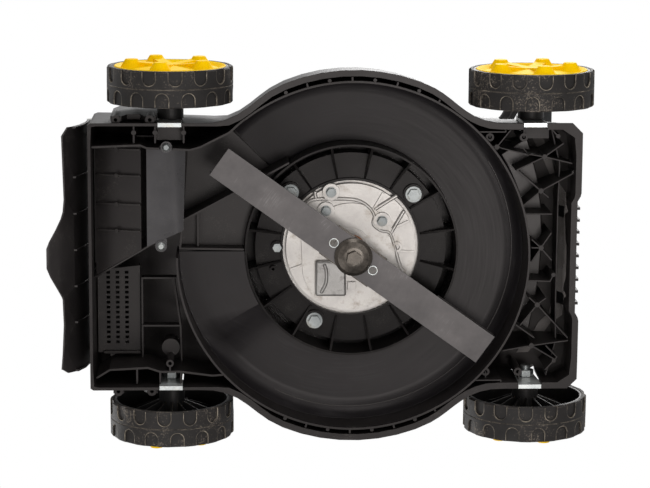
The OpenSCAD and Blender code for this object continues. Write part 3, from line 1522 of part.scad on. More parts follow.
module bail_lever() {
    tip = [bail_u + bail_reach * cos(bail_open), bail_z + bail_reach * sin(bail_open)];
    arm_y = bail_y - 4;
    color("#c62a22") in_fold() {
        tube([[bail_u, arm_y, bail_z], [tip[0], arm_y - 6, tip[1]], [tip[0], 6 - arm_y, tip[1]],
              [bail_u, -arm_y, bail_z]], bail_wire, 8, 20);
        each_side()
            translate([bail_u, 0, bail_z]) tube_y(bail_wire, arm_y - 3, bail_y + 4.6);
    }
}

deck_shell();
chamber_walls();
scroll_liner();
engine_seat();
nose_ribs();
rear_ribs();
rear_floor();
chute_plate();
bumper_ribs();
rear_flap();
flap_brackets();
flap_rod();
rear_wheel("tyre", true);  // rear_left_tyre
rear_wheel("rim", true);  // rear_left_rim
rear_wheel("cap", true);  // rear_left_cap
rear_wheel("tyre", false);  // rear_right_tyre
rear_wheel("rim", false);  // rear_right_rim
rear_wheel("cap", false);  // rear_right_cap
front_wheel("tyre", true);  // front_left_tyre
front_wheel("rim", true);  // front_left_rim
front_wheel("cap", true);  // front_left_cap
front_wheel("tyre", false);  // front_right_tyre
front_wheel("rim", false);  // front_right_rim
front_wheel("cap", false);  // front_right_cap
axle_bolts();
axle_plates();
blade();
blade_adapter();
blade_washer();
blade_bolt();
crankshaft();
oil_seal();
bolts();
engine_sump();
crankcase();
cylinder_block();  // cylinder
cylinder_head();
piston();
flywheel();
ignition_coil();
blower_housing();
starter_cover();
starter_pulley();
starter_grip();
spark_plug();
muffler();
carburettor();
air_filter();
primer_bulb();
fuel_tank();
fuel_cap();
dipstick();
handle_brackets();
pivot_bolts();
handle_legs();
left_clamp_knob();
right_clamp_knob();
upper_handle();
handle_grip();
bail_lever();
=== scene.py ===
import json
import math

import bmesh
import bpy
from mathutils import Matrix, Vector
from mathutils.bvhtree import BVHTree


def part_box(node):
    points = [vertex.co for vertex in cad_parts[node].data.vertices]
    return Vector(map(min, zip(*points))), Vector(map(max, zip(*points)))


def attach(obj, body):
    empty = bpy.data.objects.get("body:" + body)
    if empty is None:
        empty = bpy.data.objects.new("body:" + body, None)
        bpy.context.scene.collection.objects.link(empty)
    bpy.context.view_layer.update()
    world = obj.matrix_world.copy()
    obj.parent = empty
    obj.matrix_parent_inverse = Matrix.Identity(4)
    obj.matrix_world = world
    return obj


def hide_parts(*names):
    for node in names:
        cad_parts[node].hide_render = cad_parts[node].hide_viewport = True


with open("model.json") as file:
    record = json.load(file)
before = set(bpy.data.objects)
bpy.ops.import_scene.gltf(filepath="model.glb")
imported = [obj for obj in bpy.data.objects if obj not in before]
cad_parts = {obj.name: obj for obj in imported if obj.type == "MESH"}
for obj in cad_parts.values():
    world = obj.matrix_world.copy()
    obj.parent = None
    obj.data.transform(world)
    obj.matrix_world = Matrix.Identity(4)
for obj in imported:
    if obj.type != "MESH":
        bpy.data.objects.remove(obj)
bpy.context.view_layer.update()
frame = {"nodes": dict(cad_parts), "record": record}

nodes = frame["nodes"]
bodyOf = {node: body for body, held in frame["record"]["behaviour"]["bodies"].items() for node in held}
slotOf = {part["node"]: part["material_slot"] for part in frame["record"]["subparts"]}
print("frame loaded:", len(nodes), "nodes")


def middleOf(name):
    low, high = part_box(name)
    return Vector([(a + b) / 2 for a, b in zip(low, high)])


crank = middleOf("oil_seal")
crank.z = 0

# camera, solved from the photograph: it looks up at the underside
shot = {"width": 650, "focalPx": 2293.763, "sensor": 36, "pitch": 10.403, "yaw": 2.387, "roll": -0.109,
        "fromCrank": (-0.149573, -0.514579, -2.682256), "seesTo": 50}


def aimCamera():
    pitch, yaw, roll = (math.radians(shot[k]) for k in ("pitch", "yaw", "roll"))
    ahead = Vector((0, math.sin(pitch), math.cos(pitch)))
    over = Vector((0, -math.cos(pitch), math.sin(pitch)))
    right = Vector((1, 0, 0))
    ahead, right = (math.cos(yaw) * ahead + math.sin(yaw) * right,
                    math.cos(yaw) * right - math.sin(yaw) * ahead)
    right, over = (math.cos(roll) * right + math.sin(roll) * over,
                   math.cos(roll) * over - math.sin(roll) * right)
    data = bpy.data.cameras.new("shot")
    data.sensor_width = shot["sensor"]
    data.lens = shot["sensor"] * shot["focalPx"] / shot["width"]
    data.clip_end = shot["seesTo"]
    cam = bpy.data.objects.new("shot", data)
    spot = Vector(shot["fromCrank"]) + Vector((crank.x, 0, 0))
    turn = Matrix((right, over, -ahead)).transposed().to_4x4()
    cam.matrix_world = Matrix.Translation(spot) @ turn
    bpy.context.scene.collection.objects.link(cam)
    bpy.context.scene.camera = cam


aimCamera()
print("camera set")


# shader maths: a Wire is one output, and an expression on wires adds its Math nodes

class Wire:
    def __init__(self, tree, out):
        self.tree = tree
        self.out = out

    def maths(self, kind, *values, clamp=False):
        made = self.tree.nodes.new("ShaderNodeMath")
        made.operation = kind
        made.use_clamp = clamp
        for socket, value in zip(made.inputs, values):
            if isinstance(value, Wire):
                self.tree.links.new(value.out, socket)
            else:
                socket.default_value = value
        return Wire(self.tree, made.outputs[0])

    def __add__(self, other): return self.maths("ADD", self, other)
    def __radd__(self, other): return self.maths("ADD", other, self)
    def __sub__(self, other): return self.maths("SUBTRACT", self, other)
    def __rsub__(self, other): return self.maths("SUBTRACT", other, self)
    def __mul__(self, other): return self.maths("MULTIPLY", self, other)
    def __rmul__(self, other): return self.maths("MULTIPLY", other, self)
    def __truediv__(self, other): return self.maths("DIVIDE", self, other)
    def __rtruediv__(self, other): return self.maths("DIVIDE", other, self)
    def __pow__(self, other): return self.maths("POWER", self, other)
    def above(self, start, gain): return self.maths("MULTIPLY", self - start, gain, clamp=True)


class Finish:
    def __init__(self, name):
        self.material = bpy.data.materials.new(name)
        self.material.use_nodes = True
        self.tree = self.material.node_tree
        self.shader = self.tree.nodes["Principled BSDF"]
        self.place = self.node("ShaderNodeTexCoord").outputs["Object"]

    def plug(self, socket, value):
        if isinstance(value, Wire):
            self.tree.links.new(value.out, socket)
        elif isinstance(value, bpy.types.NodeSocket):
            self.tree.links.new(value, socket)
        elif socket.type == "RGBA":
            socket.default_value = (*value, 1)
        else:
            socket.default_value = value

    def node(self, kind, settings=None, values=None):
        made = self.tree.nodes.new(kind)
        for key, value in (settings or {}).items():
            if key == "stops":
                stops = made.color_ramp.elements
                while len(stops) < len(value):
                    stops.new(0.5)
                for stop, (at, colour) in zip(stops, value):
                    stop.position = at
                    stop.color = (*colour, 1)
            else:
                setattr(made, key, value)
        for key, value in (values or {}).items():
            self.plug(made.inputs[key], value)
        return made

    def wire(self, node, output=0):
        return Wire(self.tree, node.outputs[output])

    def noise(self, scale, detail=3, rough=0.5, place=None):
        return self.wire(self.node("ShaderNodeTexNoise", {}, {
            "Vector": place or self.place, "Scale": scale, "Detail": detail, "Roughness": rough}))

    def swirl(self, across, along, detail=4, rough=0.55):  # noise drawn out round the crankshaft
        off = self.node("ShaderNodeVectorMath", {"operation": "SUBTRACT"}, {0: self.place, 1: crank})
        split = self.node("ShaderNodeSeparateXYZ", {}, {0: off.outputs[0]})
        x, y, z = (self.wire(split, i) for i in range(3))
        radius = (x * x + y * y + 0.0001) ** 0.5  # never nought at the crankshaft itself
        place = self.node("ShaderNodeCombineXYZ", {}, {
            0: (radius + z) * across, 1: x / radius * along, 2: y / radius * along}).outputs[0]
        return self.noise(1, detail, rough, place=place)

    def ramp(self, value, stops):
        return self.node("ShaderNodeValToRGB", {"stops": stops}, {"Fac": value}).outputs["Color"]

    def mix(self, amount, a, b):
        return self.node("ShaderNodeMix", {"data_type": "RGBA"}, {0: amount, 6: a, 7: b}).outputs[2]

    def edges(self, radius, gain, turnedBy=0.02):  # where a corner turns within this radius
        self.rounded = self.node("ShaderNodeBevel", {"samples": 5}, {"Radius": radius}).outputs[0]
        plain = self.node("ShaderNodeNewGeometry").outputs["Normal"]
        facing = self.node("ShaderNodeVectorMath", {"operation": "DOT_PRODUCT"},
                           {0: self.rounded, 1: plain})
        return (1 - self.wire(facing, "Value")).above(turnedBy, gain)

    def set(self, **values):
        for key, value in values.items():
            self.plug(self.shader.inputs[key.replace("_", " ")], value)

    def bump(self, height, strength, distance):
        values = {"Strength": strength, "Distance": distance, "Height": height}
        if hasattr(self, "rounded"):
            values["Normal"] = self.rounded
        made = self.node("ShaderNodeBump", {}, values)
        self.tree.links.new(made.outputs[0], self.shader.inputs["Normal"])


# moulded plastics: a colour that drifts, fine grain, scuffed corners and a little dust;
# broad, patch and speck are noise scales

warmShine = (1.0, 0.93, 0.9)
moulded = {"broad": 9, "patch": 38, "speck": 650, "dustFrom": 0.3, "dustGain": 5, "wornFrom": 0.36,
           "wornGain": 4, "grainDeep": 0.0003}
# where and how strongly the painted light inside the nose falls
nosePaintedLight = {"fromCrank": 0.19, "above": 0.042, "tilt": 0.12, "least": 0.55, "drift": 0.8}


# film, where given, is the pale colour of painted light inside the nose
def plastic(name, dark, pale, rough, shine=0.28, scuff=(0.1, 0.09, 0.083), scuffGain=2.2, corner=0.0005,
            grain=1100, grainDepth=0.15, dust=0.25, dustColour=(0.13, 0.12, 0.105), film=None):
    f = Finish(name)
    broad = f.noise(moulded["broad"], 5, 0.6)
    patch = f.noise(moulded["patch"], 4, 0.6)
    speck = f.noise(moulded["speck"], 2, 0.5)
    colour = f.ramp(broad, [(0.34, dark), (0.68, pale)])
    dirt = (patch * speck).above(moulded["dustFrom"], moulded["dustGain"] * dust)
    colour = f.mix(dirt, colour, dustColour)
    if film:  # painted light: what faces down inside the nose is painted pale, standing in for the light that falls there
        split = f.node("ShaderNodeSeparateXYZ", {}, {0: f.place})
        normal = f.node("ShaderNodeNewGeometry").outputs["True Normal"]
        facing = f.node("ShaderNodeSeparateXYZ", {}, {0: normal})
        inside = (f.wire(split, 0).above(crank.x + nosePaintedLight["fromCrank"], 120)
                  * f.wire(split, 2).above(nosePaintedLight["above"], 200))
        down = (0 - f.wire(facing, 2)).above(nosePaintedLight["tilt"], 4)
        paintedLit = inside * down * (nosePaintedLight["least"] + broad * nosePaintedLight["drift"])
        colour = f.mix(paintedLit, colour, film)
    worn = f.edges(corner, scuffGain) * patch.above(moulded["wornFrom"], moulded["wornGain"])
    colour = f.mix(worn, colour, scuff)
    f.set(Base_Color=colour, Roughness=rough + (broad - 0.5) * 0.3 + dirt * 0.2, Specular_IOR_Level=shine,
          Specular_Tint=warmShine)
    f.bump(f.noise(grain, 2, 0.5), grainDepth, moulded["grainDeep"])
    return f.material


# the scroll's ceiling: grass leaves rings round the crankshaft

scroll = {"rings": (420, 3), "fine": (1500, 9, 2), "broad": 7, "smear": (0.07, 0.068, 0.066), "smearFrom": 0.3,
          "corner": 0.0006, "scuff": (0.08, 0.077, 0.074), "shine": 0.22, "grainDepth": 0.05,
          "grainDeep": 0.0003}


def linerPlastic(name, dark, pale, rough):
    f = Finish(name)
    ring = f.swirl(*scroll["rings"])
    broad = f.noise(scroll["broad"], 5, 0.62)
    fine = f.swirl(*scroll["fine"])
    colour = f.ramp(broad * 0.75 + ring * 0.25, [(0.36, dark), (0.66, pale)])
    smear = (broad * ring).above(scroll["smearFrom"], 3)
    colour = f.mix(smear * 0.5, colour, scroll["smear"])
    worn = f.edges(scroll["corner"], 1.2)
    colour = f.mix(worn, colour, scroll["scuff"])
    f.set(Base_Color=colour, Roughness=rough + (ring - 0.5) * 0.12 + smear * 0.12,
          Specular_IOR_Level=scroll["shine"], Specular_Tint=warmShine)
    f.bump(fine, scroll["grainDepth"], scroll["grainDeep"])
    return f.material


# the tyres: dusty tread, worn pale along its corners

rubber = {"broad": 22, "speck": 480, "wornPatch": 90, "corner": 0.001, "rough": 0.62, "shine": 0.25,
          "grainDepth": 0.25, "grainDeep": 0.0005}


def tyreRubber(name, dark, pale, dust):
    f = Finish(name)
    broad = f.noise(rubber["broad"], 5, 0.65)
    speck = f.noise(rubber["speck"], 3, 0.6)
    colour = f.ramp(broad * 0.7 + speck * 0.3, [(0.36, dark), (0.64, pale)])
    dirt = (broad * speck).above(0.3, 6)
    colour = f.mix(dirt, colour, dust)
    worn = f.edges(rubber["corner"], 5) * f.noise(rubber["wornPatch"], 3, 0.6).above(0.4, 6)
    colour = f.mix(worn, colour, dust)
    f.set(Base_Color=colour, Roughness=rubber["rough"] + (speck - 0.5) * 0.4,
          Specular_IOR_Level=rubber["shine"])
    f.bump(speck, rubber["grainDepth"], rubber["grainDeep"])
    return f.material


# bare, plated and cast metals

metalwork = {"broad": 30, "stain": 60, "stainFrom": 0.52, "corner": 0.0005, "grainDeep": 0.0003}


def metal(name, dark, pale, rough, grain=300, metallic=1.0, worn=None, stain=None, depth=0.1):
    f = Finish(name)
    broad = f.noise(metalwork["broad"], 5, 0.6)
    fine = f.noise(grain, 3, 0.6)
    colour = f.ramp(broad * 0.75 + fine * 0.25, [(0.32, dark), (0.66, pale)])
    if stain:
        colour = f.mix(f.noise(metalwork["stain"], 5, 0.7).above(metalwork["stainFrom"], 5), colour, stain)
    colour = f.mix(f.edges(metalwork["corner"], 1.5), colour, worn or pale)
    f.set(Base_Color=colour, Metallic=metallic, Roughness=rough + (fine - 0.5) * 0.25)
    f.bump(fine, depth, metalwork["grainDeep"])
    return f.material


# the blade: a brown film, with bright lines that stones cut round the crankshaft

blade = {"film": 24, "cuts": (900, 5, 3), "cutPatch": 45, "dark": (0.055, 0.049, 0.048),
         "pale": (0.105, 0.094, 0.092), "bright": (0.3, 0.29, 0.28), "worn": (0.42, 0.41, 0.4),
         "corner": 0.0007, "metallic": 0.55, "rough": 0.46, "grainDepth": 0.12, "grainDeep": 0.0004}


def bladeSteel(name):
    f = Finish(name)
    film = f.noise(blade["film"], 6, 0.62)
    line = f.swirl(*blade["cuts"])
    colour = f.ramp(film, [(0.34, blade["dark"]), (0.66, blade["pale"])])
    cut = (line * film).above(0.33, 12) * f.noise(blade["cutPatch"], 3).above(0.5, 5)
    colour = f.mix(cut * 0.25, colour, blade["bright"])
    worn = f.edges(blade["corner"], 2)
    colour = f.mix(worn, colour, blade["worn"])
    f.set(Base_Color=colour, Metallic=blade["metallic"],
          Roughness=blade["rough"] + (film - 0.5) * 0.3 - cut * 0.1)
    f.bump(line * 0.6 + film * 0.4, blade["grainDepth"], blade["grainDeep"])
    return f.material


# the grip's foam: open pores in soft black

foam = {"pores": 900, "broad": 30, "dark": (0.008, 0.008, 0.008), "pale": (0.024, 0.024, 0.025), "rough": 0.82,
        "poreDepth": 0.5, "poreDeep": 0.0006}


def foamRubber(name):
    f = Finish(name)
    pore = f.wire(f.node("ShaderNodeTexVoronoi", {}, {"Vector": f.place, "Scale": foam["pores"]}))
    broad = f.noise(foam["broad"], 3)
    f.set(Base_Color=f.ramp(broad + pore * 0.4, [(0.3, foam["dark"]), (0.8, foam["pale"])]),
          Roughness=foam["rough"] + broad * 0.15)
    f.bump(pore, foam["poreDepth"], foam["poreDeep"])
    return f.material


finishes = {
    "deck_plastic": plastic("deck_plastic", (0.0075, 0.0062, 0.0062), (0.0155, 0.0132, 0.013), 0.4),
    # painted sheen: a lighter copy of the deck's black plastic, used for the nose step and the liner bead
    "nose_plastic": plastic("nose_plastic", (0.012, 0.0105, 0.0105), (0.03, 0.0265, 0.025), 0.34, 0.35),
    # painted sheen: the nose ledge is the deck's black plastic, painted pale for its highlight
    "ledge_plastic_painted_sheen": plastic("ledge_plastic_painted_sheen", (0.16, 0.145, 0.136), (0.4, 0.36, 0.34), 0.26, 0.8),
    "seat_plastic": plastic("seat_plastic", (0.0035, 0.003, 0.003), (0.009, 0.0078, 0.0078), 0.3, 0.1),
    # the shell's black plastic, with painted light inside the nose: film is that painted pale colour
    "shell_plastic_painted_light": plastic("shell_plastic_painted_light", (0.0075, 0.0062, 0.0062), (0.0155, 0.0132, 0.013), 0.4,
                             film=(0.1, 0.09, 0.086)),
    "bolt_steel": metal("bolt_steel", (0.13, 0.138, 0.14), (0.36, 0.37, 0.36), 0.44, 700, metallic=0.8,
                        worn=(0.6, 0.6, 0.57), stain=(0.16, 0.145, 0.12), depth=0.4),
    "flap_plastic": plastic("flap_plastic", (0.012, 0.0105, 0.0105), (0.026, 0.023, 0.0225), 0.42, 0.4),
    "liner_plastic": linerPlastic("liner_plastic", (0.007, 0.006, 0.0066), (0.0155, 0.0135, 0.0145), 0.4),
    "grey_plate": plastic("grey_plate", (0.026, 0.0255, 0.027), (0.054, 0.052, 0.056), 0.3, 0.45,
                          scuff=(0.16, 0.16, 0.16), dust=0.15),
    "tyre": tyreRubber("tyre", (0.011, 0.0095, 0.009), (0.024, 0.0205, 0.019), (0.24, 0.2, 0.16)),
    "rim_plastic": plastic("rim_plastic", (0.0085, 0.0085, 0.009), (0.017, 0.0165, 0.016), 0.45,
                           scuff=(0.26, 0.2, 0.14), scuffGain=1.6, corner=0.0006),
    "yellow_plastic": plastic("yellow_plastic", (1.0, 0.6, 0.0), (1.0, 0.68, 0.0), 0.5, 0.03,
                              scuff=(0.95, 0.62, 0.1), scuffGain=0.6, dust=0.03,
                              dustColour=(0.7, 0.4, 0.05)),
    "zinc": metal("zinc", (0.42, 0.44, 0.44), (0.72, 0.73, 0.71), 0.32, metallic=0.55,
                  worn=(0.9, 0.9, 0.88), stain=(0.5, 0.46, 0.38)),
    "blade_steel": bladeSteel("blade_steel"),
    "oily_steel": metal("oily_steel", (0.028, 0.0235, 0.019), (0.105, 0.088, 0.073), 0.3, 260,
                        worn=(0.22, 0.18, 0.14), stain=(0.012, 0.009, 0.007), metallic=0.7),
    # painted shade: a darker copy of the cast alloy, for the pump housing's sloped faces
    "pump_cover_painted_shade": metal("pump_cover_painted_shade", (0.17, 0.16, 0.15), (0.3, 0.285, 0.27), 0.34, 900, metallic=0.6,
                        worn=(0.4, 0.38, 0.36), stain=(0.06, 0.05, 0.045), depth=0.3),
    "steel": metal("steel", (0.35, 0.35, 0.35), (0.5, 0.5, 0.5), 0.35),
    "cast_alloy": metal("cast_alloy", (0.3, 0.277, 0.26), (0.47, 0.44, 0.412), 0.38, 1100, metallic=0.6,
                        worn=(0.7, 0.67, 0.63), stain=(0.24, 0.21, 0.18), depth=0.35),
    "seal_rubber": plastic("seal_rubber", (0.12, 0.035, 0.01), (0.36, 0.12, 0.035), 0.5, dust=0.1),
    "black_plastic": plastic("black_plastic", (0.008, 0.008, 0.0085), (0.016, 0.016, 0.0165), 0.38),
    "muffler_steel": metal("muffler_steel", (0.1, 0.085, 0.075), (0.24, 0.21, 0.19), 0.5, metallic=0.7,
                           stain=(0.13, 0.06, 0.03)),
    "tank_plastic": plastic("tank_plastic", (0.6, 0.58, 0.51), (0.72, 0.7, 0.63), 0.36,
                            scuff=(0.8, 0.78, 0.72), dust=0.1, dustColour=(0.5, 0.46, 0.38)),
    "white_plastic": plastic("white_plastic", (0.6, 0.59, 0.56), (0.7, 0.69, 0.66), 0.45,
                             scuff=(0.8, 0.8, 0.78)),
    "red_plastic": plastic("red_plastic", (0.4, 0.015, 0.01), (0.52, 0.03, 0.018), 0.3,
                           scuff=(0.6, 0.2, 0.16)),
    "painted_tube": plastic("painted_tube", (0.007, 0.007, 0.0075), (0.013, 0.013, 0.0135), 0.24,
                            grain=420, grainDepth=0.06, dust=0.1),
    "foam": foamRubber("foam"),
    "ceramic": plastic("ceramic", (0.6, 0.58, 0.54), (0.72, 0.7, 0.66), 0.14, scuff=(0.8, 0.8, 0.78),
                       dust=0.05),
}
print("finishes made:", len(finishes))


# every node gets a smooth skin of its own: doubles merged, soft across curves, sharp at corners

skin = {"mergeBelow": 0.00001, "sharpFrom": 28,
        "ownFinish": {"engine_seat": "seat_plastic", "rear_flap": "flap_plastic",
                      "deck_shell": "shell_plastic_painted_light", "bolts": "bolt_steel", "axle_bolts": "bolt_steel"}}


def addObject(name, mesh):
    piece = bpy.data.objects.new(name, mesh)
    bpy.context.scene.collection.objects.link(piece)
    return piece


def plainMesh(piece, name):  # the evaluated shape as a mesh without modifiers
    held = bpy.context.evaluated_depsgraph_get()
    mesh = bpy.data.meshes.new_from_object(piece.evaluated_get(held), preserve_all_data_layers=True,
                                           depsgraph=held)
    mesh.name = name
    piece.modifiers.clear()
    piece.data = mesh
    return piece


def smoothSkin(name):
    work = bmesh.new()
    work.from_mesh(nodes[name].data)
    bmesh.ops.remove_doubles(work, verts=work.verts, dist=skin["mergeBelow"])
    mesh = bpy.data.meshes.new(name + "_skin")
    work.to_mesh(mesh)
    work.free()
    for extra in [a.name for a in mesh.attributes if a.name == "custom_normal"]:
        mesh.attributes.remove(mesh.attributes[extra])
    mesh.shade_smooth()
    mesh.set_sharp_from_angle(angle=math.radians(skin["sharpFrom"]))
    mesh.materials.clear()
    mesh.materials.append(finishes[skin["ownFinish"].get(name, slotOf[name])])
    piece = addObject(name + "_skin", mesh)
    weigh = piece.modifiers.new("weigh", "WEIGHTED_NORMAL")
    weigh.keep_sharp = True
    plainMesh(piece, name + "_skin")
    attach(piece, bodyOf[name])
    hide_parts(name)
    return len(mesh.polygons)


faces = sum(smoothSkin(name) for name in nodes)
print("skins made:", faces, "triangles")


# geometry nodes: a small wrapper, one group for each kind of detail

class Growth:
    def __init__(self, name, inputs):
        self.group = bpy.data.node_groups.new(name, "GeometryNodeTree")
        for label, kind, value in inputs:
            socket = self.group.interface.new_socket(label, in_out="INPUT", socket_type=kind)
            if value is not None:
                socket.default_value = value
        self.group.interface.new_socket("Geometry", in_out="OUTPUT", socket_type="NodeSocketGeometry")
        self.start = self.group.nodes.new("NodeGroupInput")

    def value(self, label):
        return self.start.outputs[label]

    def add(self, kind, settings=None, values=None, output=0):
        made = self.group.nodes.new(kind)
        for key, value in (settings or {}).items():
            setattr(made, key, value)
        for key, value in (values or {}).items():
            if isinstance(value, list):
                for one in value:
                    self.group.links.new(one, made.inputs[key])
            elif isinstance(value, bpy.types.NodeSocket):
                self.group.links.new(value, made.inputs[key])
            else:
                made.inputs[key].default_value = value
        return made.outputs[output]

    def sum(self, kind, a, b=0.0):
        return self.add("ShaderNodeMath", {"operation": kind}, {0: a, 1: b})

    def finish(self, shape, material):
        whole = self.add("GeometryNodeRealizeInstances", {}, {0: shape})
        painted = self.add("GeometryNodeSetMaterial", {}, {0: whole, "Material": material})
        end = self.group.nodes.new("NodeGroupOutput")
        self.group.links.new(painted, end.inputs[0])

    def grow(self, name, body, slot, **values):
        piece = addObject(name, bpy.data.meshes.new(name))
        rule = piece.modifiers.new("rule", "NODES")
        rule.node_group = self.group
        for item in self.group.interface.items_tree:
            if item.in_out == "INPUT" and item.name in values:
                rule[item.identifier] = values[item.name]
        plainMesh(piece, name)
        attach(piece, body)
        return piece


# moulding flash on the tyres: a broken seam round the tread and a thin lip round each pocket

corners = ("rear_left", "rear_right", "front_left", "front_right")
tread = {"seamRadius": 0.0754, "lip": 0.00035, "seed": 4, "seamSteps": 420, "breaks": 130.0, "breakFrom": 0.42,
         "breakGain": 6.0, "thinnest": 0.05, "lipSides": 5, "pocketsAt": 0.07552, "pocketHalf": 0.0082,
         "arcAt": 0.0095, "archSteps": 12, "edge": 0.0012, "width": 0.0436, "pockets": 15,
         "pocketLip": 0.00045, "flash": 75, "flashRough": 0.7,
         "flashColours": [(0.4, (0.03, 0.025, 0.021)), (0.52, (0.15, 0.125, 0.095)),
                          (0.66, (0.42, 0.36, 0.28))]}


def flashFinish():
    f = Finish("tyre_flash")
    broad = f.noise(tread["flash"], 5, 0.7)
    f.set(Base_Color=f.ramp(broad, tread["flashColours"]), Roughness=tread["flashRough"] + (broad - 0.5) * 0.3)
    return f.material


def lipProfile(g, sides):  # the round section of a thin lip
    return g.add("GeometryNodeCurvePrimitiveCircle", {"mode": "RADIUS"},
                 {"Resolution": sides, "Radius": g.value("Lip")})


def treadSeam():
    g = Growth("treadSeam", [("Radius", "NodeSocketFloat", 0.076), ("Lip", "NodeSocketFloat", 0.0003),
                             ("Seed", "NodeSocketFloat", 1.0), ("Middle", "NodeSocketVector", None)])
    ring = g.add("GeometryNodeCurvePrimitiveCircle", {"mode": "RADIUS"},
                 {"Resolution": tread["seamSteps"], "Radius": g.value("Radius")})
    rough = g.add("ShaderNodeTexNoise", {"noise_dimensions": "4D"},
                  {"W": g.value("Seed"), "Scale": tread["breaks"], "Detail": 4.0})
    thick = g.sum("MULTIPLY", g.sum("SUBTRACT", rough, tread["breakFrom"]), tread["breakGain"])
    thick = g.sum("MAXIMUM", thick, tread["thinnest"])
    ring = g.add("GeometryNodeSetCurveRadius", {}, {0: ring, "Radius": thick})
    line = g.add("GeometryNodeCurveToMesh", {}, {
        "Curve": ring, "Profile Curve": lipProfile(g, tread["lipSides"]), "Scale": thick})
    placed = g.add("GeometryNodeTransform", {}, {0: line, "Translation": g.value("Middle"),
                                                "Rotation": (math.pi / 2, 0, 0)})
    g.finish(placed, flash)
    return g


def pocketLips():  # drawn flat with x round the tyre and y across it, then rolled up
    g = Growth("pocketLips", [("Radius", "NodeSocketFloat", 0.0755), ("Half", "NodeSocketFloat", 0.0082),
                              ("Arc At", "NodeSocketFloat", 0.0095), ("Edge", "NodeSocketFloat", 0.0012),
                              ("Width", "NodeSocketFloat", 0.0436), ("Lip", "NodeSocketFloat", 0.0004),
                              ("Count", "NodeSocketInt", 15), ("Turn", "NodeSocketVector", None),
                              ("Middle", "NodeSocketVector", None)])
    half = g.value("Half")
    away = g.sum("SUBTRACT", 0.0, half)
    foot = g.sum("SUBTRACT", g.value("Edge"), g.value("Arc At"))
    arch = g.add("GeometryNodeCurveArc", {"mode": "RADIUS"}, {
        "Resolution": tread["archSteps"], "Radius": half, "Start Angle": 0.0, "Sweep Angle": math.pi})
    legs = [g.add("GeometryNodeCurvePrimitiveLine", {"mode": "POINTS"}, {
        "Start": g.add("ShaderNodeCombineXYZ", {}, {"X": side}),
        "End": g.add("ShaderNodeCombineXYZ", {}, {"X": side, "Y": foot})}) for side in (half, away)]
    outline = g.add("GeometryNodeJoinGeometry", {}, {0: [arch] + legs})
    pocket = g.add("GeometryNodeCurveToMesh", {}, {
        "Curve": outline, "Profile Curve": lipProfile(g, tread["lipSides"]), "Fill Caps": True})
    pocket = g.add("GeometryNodeTransform", {}, {
        0: pocket, "Translation": g.add("ShaderNodeCombineXYZ", {}, {"Y": g.value("Arc At")})})
    pitch = g.sum("DIVIDE", g.sum("MULTIPLY", g.value("Radius"), 2 * math.pi), g.value("Count"))
    places = g.add("GeometryNodeMeshLine", {"mode": "OFFSET"}, {
        "Count": g.value("Count"), "Offset": g.add("ShaderNodeCombineXYZ", {}, {"X": pitch})})
    row = g.add("GeometryNodeInstanceOnPoints", {}, {"Points": places, "Instance": pocket})
    row = g.add("GeometryNodeRealizeInstances", {}, {0: row})
    across = g.add("ShaderNodeCombineXYZ", {}, {"X": g.sum("MULTIPLY", pitch, 0.5), "Y": g.value("Width")})
    other = g.add("GeometryNodeTransform", {}, {0: row, "Rotation": (0, 0, math.pi), "Translation": across})
    flat = g.add("GeometryNodeJoinGeometry", {}, {0: [row, other]})
    split = g.group.nodes.new("ShaderNodeSeparateXYZ")
    g.group.links.new(g.add("GeometryNodeInputPosition"), split.inputs[0])
    angle = g.sum("DIVIDE", split.outputs["X"], g.value("Radius"))
    reach = g.sum("ADD", split.outputs["Z"], g.value("Radius"))
    rolled = g.add("GeometryNodeSetPosition", {}, {0: flat, "Position": g.add("ShaderNodeCombineXYZ", {}, {
        "X": g.sum("MULTIPLY", reach, g.sum("COSINE", angle)),
        "Y": g.sum("MULTIPLY", reach, g.sum("SINE", angle)), "Z": split.outputs["Y"]})})
    turned = g.add("GeometryNodeTransform", {}, {0: rolled, "Rotation": g.value("Turn")})
    placed = g.add("GeometryNodeTransform", {}, {0: turned, "Translation": g.value("Middle")})
    g.finish(placed, flash)
    return g


flash = flashFinish()
seam = treadSeam()
pockets = pocketLips()
for corner in corners:
    low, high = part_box(corner + "_tyre")
    middle = (Vector(low) + Vector(high)) / 2
    seam.grow(corner + "_tyre_seam", corner + "_wheel", "tyre", Radius=tread["seamRadius"], Lip=tread["lip"],
              Seed=float(tread["seed"] + len(corner) + middle.x), Middle=middle)
    side = 1 if "left" in corner else -1
    middle.y = low[1] if side > 0 else high[1]
    pockets.grow(corner + "_pocket_lips", corner + "_wheel", "tyre", Radius=tread["pocketsAt"],
                 Half=tread["pocketHalf"], **{"Arc At": tread["arcAt"]}, Edge=tread["edge"],
                 Width=tread["width"], Lip=tread["pocketLip"], Count=tread["pockets"],
                 Turn=(-side * math.pi / 2, 0, 0), Middle=middle)
print("tyre seams and pocket lips grown")


# flash round the openings in each wheel's web

web = {"ring": 0.044, "openings": 6, "width": 0.018, "height": 0.034, "corner": 0.0089, "cornerSteps": 8,
       "lip": 0.0004, "lipSides": 6, "faceAt": 0.029}


